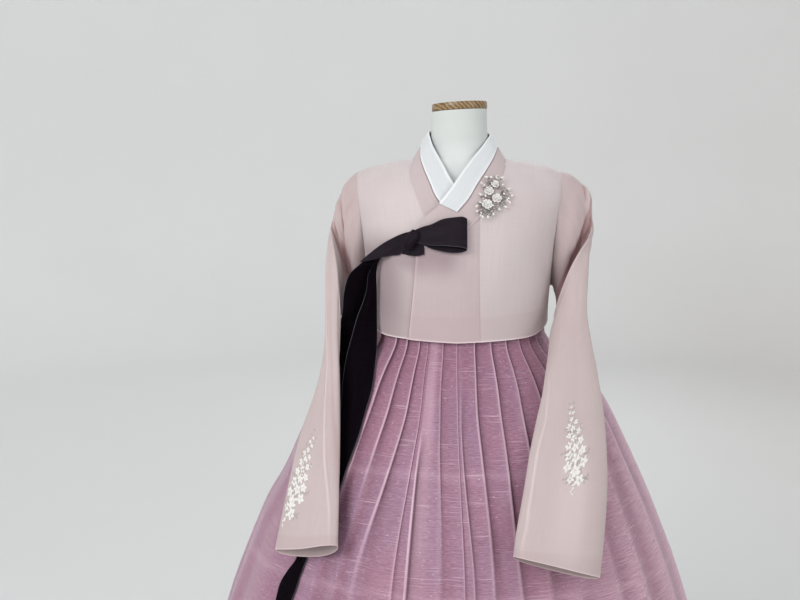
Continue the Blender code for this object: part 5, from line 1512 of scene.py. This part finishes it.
def brooch_sprigs(silver, enamel):
    """Fine curved wires between the blossoms, each with small leaves and a milky bud at its tip."""
    wires, buds = bmesh.new(), bmesh.new()
    for i, sprig in enumerate(SPRIGS):
        stem = arc_stem(*sprig)
        stations = []
        for t in (0.0, 0.25, 0.5, 0.75, 1.0):
            x, y, _ = stem(t)
            stations.append((x, y, 0.62 - 0.22 * t, 0.6 + 1.1 * math.sin(math.pi * t)))
        tube(wires, stations, 6, 3)
        heading = math.atan2(stations[4][1] - stations[3][1], stations[4][0] - stations[3][0])
        x, y = sprig[2] + 1.6 * math.cos(heading), sprig[3] + 1.6 * math.sin(heading)
        bud(buds, x, y, 1.3, heading, 5.0 + 0.8 * (i % 3), 3.3)
        for k, turn in ((2, 0.9), (3, -0.8), (1, -1.0)):
            x, y, _, out = stations[k]
            aim = heading + turn * (1 if i % 2 else -1)
            x, y = x + SPRIG_REACH * math.cos(aim), y + SPRIG_REACH * math.sin(aim)
            if (i + k) % 4 == 0:
                bud(buds, x, y, out + 0.5, aim, 4.4, 3.0)
            else:
                bud(wires, x, y, out, aim, 6.4, 2.9)
    for name, shape, finish in (("brooch_sprig_wires", wires, silver), ("brooch_buds", buds, enamel)):
        face_out(shape)
        to_brooch(shape)
        piece(name, shape, finish, sharp=60)


def brooch_flower(number, spec, petal_finish):
    """Two rounds of open petals that overlap round a hollow middle; dip is the painted shade in a fold."""
    shape = bmesh.new()
    dip = shape.verts.layers.float.new("dip")
    for k in range(2 * PETALS):
        inner = k >= PETALS
        radius = spec.radius * (0.55 if inner else 1.06)
        aim = math.radians(spec.turn + 90 + 360 * k / PETALS + (36 if inner else 0))
        made = bmesh.ops.create_grid(shape, x_segments=10, y_segments=10, size=0.5)["verts"]
        for vert in made:
            across, along = vert.co.x * 2, vert.co.y + 0.5
            width = radius * 0.60 * math.sin(math.pi * (0.10 + 0.80 * along)) ** 0.6
            notch = 0.13 * math.exp(-(across / 0.28) ** 2) * along ** 4
            reach = radius * (0.10 + 0.90 * along) * (1 - 0.10 * across * across - notch)
            cup = 0.5 + (1.5 if inner else 0.9) * along ** 2 * (0.25 + 0.75 * across * across)
            groove = 0.45 * math.exp(-(across / 0.2) ** 2) * (1 - 0.6 * along)
            height = FLOWER_BASE - 0.5 + cup - groove + 0.3 * (k % 2) + (0.9 if inner else 0.0)
            # painted shade in the hollow middle, along each petal's groove and at its edges
            hollow = 0.95 * max(0.0, 1 - 2.6 * along) + 0.75 * math.exp(-(across / 0.15) ** 2) * (1 - along)
            vert[dip] = min(1.0, hollow + 0.55 * abs(across) ** 5 * (1 - 0.5 * along))
            vert.co = (across * width * (0.30 + 0.70 * along ** 0.7), reach, height)
        turned = Matrix.Translation((spec.across, spec.up, 0)) @ Matrix.Rotation(aim, 4, "Z")
        bmesh.ops.transform(shape, matrix=turned, verts=made)
    to_brooch(shape)
    return piece("brooch_blossom_%d" % number, shape, petal_finish,
                 ["brooch_flower_%d" % number], wall=0.35)


def brooch_beads(name, places, finish):
    """Small round beads; each has its place, height and radius."""
    shape = bmesh.new()
    for x, y, out, radius in places:
        spot = Matrix.Translation((x, y, out))
        bmesh.ops.create_icosphere(shape, subdivisions=2, radius=radius, matrix=spot)
    to_brooch(shape)
    return piece(name, shape, finish)


def brooch_leaf(number, spec, finish, stands_for):
    """Thin pressed leaf with a raised midrib, pointed at both ends and bent a little."""
    shape = bmesh.new()
    made = bmesh.ops.create_grid(shape, x_segments=8, y_segments=14, size=0.5)["verts"]
    for vert in made:
        across, along = vert.co.x * 2, vert.co.y + 0.5
        half = spec.width / 2 * math.sin(math.pi * min(max(along, 0.015), 0.985)) ** 0.75
        vein = 0.16 * abs(math.sin(along * 22 - abs(across) * 3)) * abs(across)
        rise = 0.55 * (1 - abs(across)) ** 2 + vein + 0.9 * (along - 0.5) ** 2 * 2 - 0.35
        vert.co = (across * half, (along - 0.5) * spec.length, rise)
    bmesh.ops.remove_doubles(shape, verts=shape.verts[:], dist=0.02)
    aim = math.radians(spec.turn - 90)
    turned = Matrix.Translation((spec.across, spec.up, 0.1)) @ Matrix.Rotation(aim, 4, "Z")
    bmesh.ops.transform(shape, matrix=turned, verts=shape.verts[:])
    to_brooch(shape)
    return piece("brooch_pressed_leaf_%d" % number, shape, finish, stands_for, wall=0.4)


# ------------------------------------------------ making it all
def make_finishes():
    return {
        "body": jacket_finish("jacket_silk_plain", (0.60, 0.525, 0.53), (0.505, 0.415, 0.415),
                              (0.55, 0.48, 0.485)),
        "under": jacket_finish("jacket_silk_under", (0.62, 0.54, 0.54), (0.50, 0.415, 0.42),
                               (0.565, 0.49, 0.49)),
        "seop": jacket_finish("overlap_silk", (0.56, 0.465, 0.475), (0.47, 0.365, 0.375),
                              (0.51, 0.425, 0.435)),
        "sleeve": jacket_finish("sleeve_silk", (0.535, 0.445, 0.44), (0.455, 0.345, 0.345),
                                (0.49, 0.405, 0.40)),
        "git": jacket_finish("collar_band_silk", (0.545, 0.455, 0.46), (0.46, 0.36, 0.365),
                             (0.50, 0.41, 0.415)),
        "strip": strip_finish(),
        "skirt": skirt_finish(),
        "cotton": cotton_finish(),
        "ribbon": ribbon_finish("ribbon_silk_woven", 1.0),
        # the tails are a darker copy of the ribbon silk: painted shade
        "shaded_tail": ribbon_finish("ribbon_silk_tails_shaded", 0.34),
        "jersey": jersey_finish(),
        "wood": wood_finish(),
        "floss": satin_finish("floss_white", (0.88, 0.86, 0.83), (0.76, 0.72, 0.69)),
        "blush": satin_finish("floss_blush", (0.52, 0.46, 0.42), (0.40, 0.34, 0.31)),
        "silver": metal_finish("brooch_silver_dull", (0.13, 0.12, 0.11), (0.62, 0.59, 0.55), 0.36,
                               (420.0, 420.0, 420.0)),
        "enamel": enamel_finish(),
        "pearl": pearl_finish(),
        "steel": metal_finish("stand_steel", (0.50, 0.50, 0.50), (0.62, 0.62, 0.62), 0.34,
                              (900.0, 900.0, 6.0)),
        "plate": metal_finish("base_plate_steel", (0.52, 0.52, 0.53), (0.64, 0.64, 0.65), 0.38,
                              (90.0, 600.0, 90.0)),
    }


Bloom = namedtuple("Bloom", "x y radius turn")     # a place across and down from the motif's middle
BRANCH = [                 # blossoms on the branch, from its foot to its tip
    Bloom(-3, 58, 9.0, 30), Bloom(12, 50, 7.4, 15), Bloom(2, 41, 11.0, 10), Bloom(-13, 33, 9.0, 40),
    Bloom(16, 29, 8.6, 0), Bloom(0, 22, 8.8, 25), Bloom(-13, 15, 7.6, 5), Bloom(13, 13, 7.8, 50),
    Bloom(0, 5, 7.6, 15), Bloom(12, -3, 6.8, 0), Bloom(-11, -2, 6.6, 35), Bloom(1, -11, 6.4, 20),
    Bloom(10, -19, 5.8, 0), Bloom(-9, -19, 5.6, 45), Bloom(1, -28, 5.6, 10), Bloom(8, -36, 4.8, 30),
    Bloom(-6, -36, 4.6, 0), Bloom(2, -45, 4.4, 20), Bloom(-3, -54, 3.8, 40), Bloom(4, -58, 3.4, 0),
    Bloom(0, -67, 3.0, 10),
]
MOTIFS = {1: ((71, 426), 0.98, 0.06), -1: ((38, 478), 0.90, -0.14)}     # middle, scale and slant by side


def make_embroidery(grids, white, blush):
    """A branch of small blossoms with its leaves on the front of both sleeves."""
    for side, (middle, scale, slant) in MOTIFS.items():
        end = "left" if side > 0 else "right"

        def stem(x0, y0, x1, y1, bow):
            lean = [x - slant * y for x, y in ((x0, y0), (x1, y1))]
            return arc_stem(lean[0] * scale, y0 * scale, lean[1] * scale, y1 * scale, bow * scale)

        stems = [stem(2, 62, 0, -74, 5), stem(4, 40, 26, 2, -6), stem(0, 46, -27, 20, 6),
                 stem(2, 54, 24, 44, 4), stem(-2, 56, -20, 58, -4), stem(0, 4, -17, -26, 4),
                 stem(0, -8, 15, -36, -4)]
        blooms = []
        for bloom in BRANCH:
            blooms += blossom((bloom.x - slant * bloom.y) * scale, bloom.y * scale, bloom.radius * scale, 5,
                              bloom.turn)
        for twig in stems[5:]:
            blooms += spray(twig, 5, 3.0 * scale, 7.0 * scale, 26)
        blooms += spray(stem(3, 60, 12, 76, -3), 4, 2.6 * scale, 8.0 * scale, 40)
        stitches("embroidery_" + end, grids[side], middle, blooms, (), white, side)
        leaves = spray(stems[0], 26, 13.5 * scale, 9.0 * scale, 42)
        for twig, count in zip(stems[1:], (8, 8, 6, 6, 6, 6)):
            leaves += spray(twig, count, 4.4 * scale, 8.5 * scale, 48)
        stitches("embroidery_%s_leaves" % end, grids[side], middle, leaves, stems, blush, side)


FLOOR_REACH = 4.6          # metres to where the floor turns up
FLOOR_CURVE = 1.4
BACKDROP_TOP = 6.0


def make_stage():
    """Plain pale floor that curves up into a round backdrop."""
    profile = [(0.001, 0.0), (1.5, 0.0), (3.0, 0.0), (FLOOR_REACH, 0.0)]
    for i in range(1, 13):
        turn = math.pi / 2 * i / 12
        out, up = FLOOR_CURVE * math.sin(turn), FLOOR_CURVE - FLOOR_CURVE * math.cos(turn)
        profile.append((FLOOR_REACH + out, up))
    profile.append((FLOOR_REACH + FLOOR_CURVE, BACKDROP_TOP))
    shape = lathe(profile)
    face_out(shape)
    mesh = bpy.data.meshes.new("studio_floor")
    shape.to_mesh(mesh)
    shape.free()
    mesh.shade_smooth()
    tree, shader, finish = new_finish("studio_paper", 0.9, Specular_IOR_Level=0.1)
    mottle = noise(tree, object_map(tree), scale=1.2, detail=3.0)
    reach = tree.nodes.new("ShaderNodeVectorMath")
    reach.operation = "LENGTH"
    tree.links.new(object_map(tree, (1.0, 1.0, 2.2)), reach.inputs[0])
    # darker near the middle of the floor and paler up the backdrop, painted to even out the lamps' light
    distance = between(tree, reach.outputs["Value"], 1.6, 6.4)
    paper = tint(tree, distance, (0.74, 0.745, 0.74), (0.885, 0.885, 0.875))
    paper = tint(tree, between(tree, mottle, 0.3, 0.7, 0.0, 0.04), paper, (0.55, 0.56, 0.55))
    # painted shade towards +X
    place = parts_of(tree, object_map(tree))
    paper = tint(tree, between(tree, place["X"], -0.5, 3.0, 0.0, 0.16), paper, (0.50, 0.46, 0.45))
    # painted shade in the low corner towards +X
    corner = sum_of(tree, "MULTIPLY", between(tree, place["X"], 0.3, 2.0),
                    between(tree, place["Z"], 1.2, 0.0))
    paper = tint(tree, sum_of(tree, "MULTIPLY", corner, 0.16), paper, (0.52, 0.42, 0.41))
    feed(tree, shader.inputs["Base Color"], paper)
    mesh.materials.append(finish)
    floor = bpy.data.objects.new("studio_floor", mesh)
    bpy.context.scene.collection.objects.link(floor)


def make_light(name, place, aim, size, power):
    data = bpy.data.lights.new(name, "AREA")
    data.size = size
    data.energy = power
    light = bpy.data.objects.new(name, data)
    light.location = place
    light.rotation_euler = (Vector(aim) - Vector(place)).to_track_quat("-Z", "Y").to_euler()
    bpy.context.scene.collection.objects.link(light)


CAMERA_PLACE = (0.0, -1.52, 1.354)
CAMERA_DOWN = 8.8          # degrees that the camera looks down
CAMERA_TURN = 3.707        # degrees that it is turned to its left
CAMERA_LENS = 40.5


def make_studio():
    scene = bpy.context.scene
    world = bpy.data.worlds.new("studio_air")
    world.use_nodes = True
    air = world.node_tree.nodes["Background"]
    air.inputs["Color"].default_value = (0.95, 0.98, 1.0, 1.0)
    air.inputs["Strength"].default_value = 0.75
    scene.world = world
    scene.view_settings.view_transform = "Standard"
    make_light("key_light", (-2.2, -3.0, 3.0), (0, 0, 1.0), 2.2, 92)
    make_light("fill_light", (2.8, -2.4, 1.8), (0, 0, 1.0), 2.6, 32)
    make_light("back_light", (0.6, 3.2, 2.8), (0, 0, 1.0), 2.4, 20)
    camera = bpy.data.objects.new("camera", bpy.data.cameras.new("camera"))
    camera.data.sensor_width = 36.0
    camera.data.lens = CAMERA_LENS
    camera.location = CAMERA_PLACE
    camera.rotation_euler = (math.radians(90 - CAMERA_DOWN), 0.0, math.radians(CAMERA_TURN))
    scene.collection.objects.link(camera)
    scene.camera = camera


def build():
    finish = make_finishes()
    make_stage()
    make_studio()
    torso(finish["jersey"])
    neck_cap(finish["wood"])
    waist = waistband(finish["cotton"])
    dress = skirt(finish["skirt"])
    left = body_panel("left_body", "jeogori_body_left", 1, LEFT_INNER, LEFT_CREASES, finish["body"])
    right = body_panel("right_body", "jeogori_body_right", -1, RIGHT_INNER, RIGHT_CREASES, finish["under"])
    overlap = overlap_panel(finish["seop"])
    band = collar_band(finish["git"])
    strip = collar_strip(finish["strip"])
    left_grid = sleeve_points(1, LEFT_SLEEVE, LEFT_SLEEVE_CREASES)
    right_grid = sleeve_points(-1, RIGHT_SLEEVE, RIGHT_SLEEVE_CREASES)
    left_sleeve = sleeve("left_sleeve", "jeogori_sleeve_left", 1, left_grid, finish["sleeve"])
    right_sleeve = sleeve("right_sleeve", "jeogori_sleeve_right", -1, right_grid, finish["sleeve"])
    make_embroidery({1: left_grid, -1: right_grid}, finish["floss"], finish["blush"])
    ties = [
        ribbon("tie_band", "goreum_band", BAND, -1, 40, finish["ribbon"],
               [Crease([(12, 5), (20, 80)], 3, 0.7), Crease([(20, 10), (30, 90)], 4, -0.6)]),
        ribbon("tie_long_tail", "goreum_tail_long", LONG_TAIL, -1, 190, finish["shaded_tail"],
               [Crease([(18, 60), (22, 330)], 5, 1.0), Crease([(30, 40), (36, 250)], 4, -0.8),
                Crease([(10, 300), (16, 560)], 5, 0.8)]),
        ribbon("tie_short_tail", "goreum_tail_short", SHORT_TAIL, -1, 130, finish["shaded_tail"],
               [Crease([(10, 50), (24, 300)], 5, 1.0), Crease([(30, 120), (34, 380)], 5, -0.8)]),
        ribbon("tie_loop", "goreum_loop", LOOP, -1, 90, finish["ribbon"],
               [Crease([(8, 5), (20, 75)], 4, 0.9), Crease([(16, 5), (34, 60)], 4, -0.7),
                Crease([(28, 120), (20, 170)], 4, 0.8)]),
        ribbon("tie_tongue", "goreum_tongue", TONGUE, 1, 24, finish["ribbon"], cup=0.6),
    ]
    wrap = knot(finish["ribbon"])
    brooch_wire("brooch_main_wire", "brooch_stem", MAIN_STEM, finish["silver"])
    brooch_wire("brooch_side_wire", "brooch_side_stem", SIDE_STEM, finish["silver"])
    beads = []
    for i, spec in enumerate(FLOWERS):
        brooch_flower(i + 1, spec, finish["enamel"])
        beads.append((spec.across, spec.up, FLOWER_BASE + 1.6, 1.5))
        for k in range(6):
            aim = math.radians(60 * k + spec.turn)
            x, y = spec.across + 2.2 * math.cos(aim), spec.up + 2.2 * math.sin(aim)
            beads.append((x, y, FLOWER_BASE + 1.2, 0.6))
    beads += [(bead.across, bead.up, 1.2, bead.radius) for bead in LOOSE_BEADS]
    brooch_sprigs(finish["silver"], finish["enamel"])
    brooch_beads("brooch_pearls", beads, finish["pearl"])
    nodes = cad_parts
    for i, spec in enumerate(LEAVES):
        name = "brooch_leaf_%d" % (i + 1)
        brooch_leaf(i + 1, spec, finish["silver"], [name] if name in nodes else [])
    nodes["form_pole"].material_slots[0].material = finish["steel"]
    nodes["form_base"].material_slots[0].material = finish["plate"]


build()
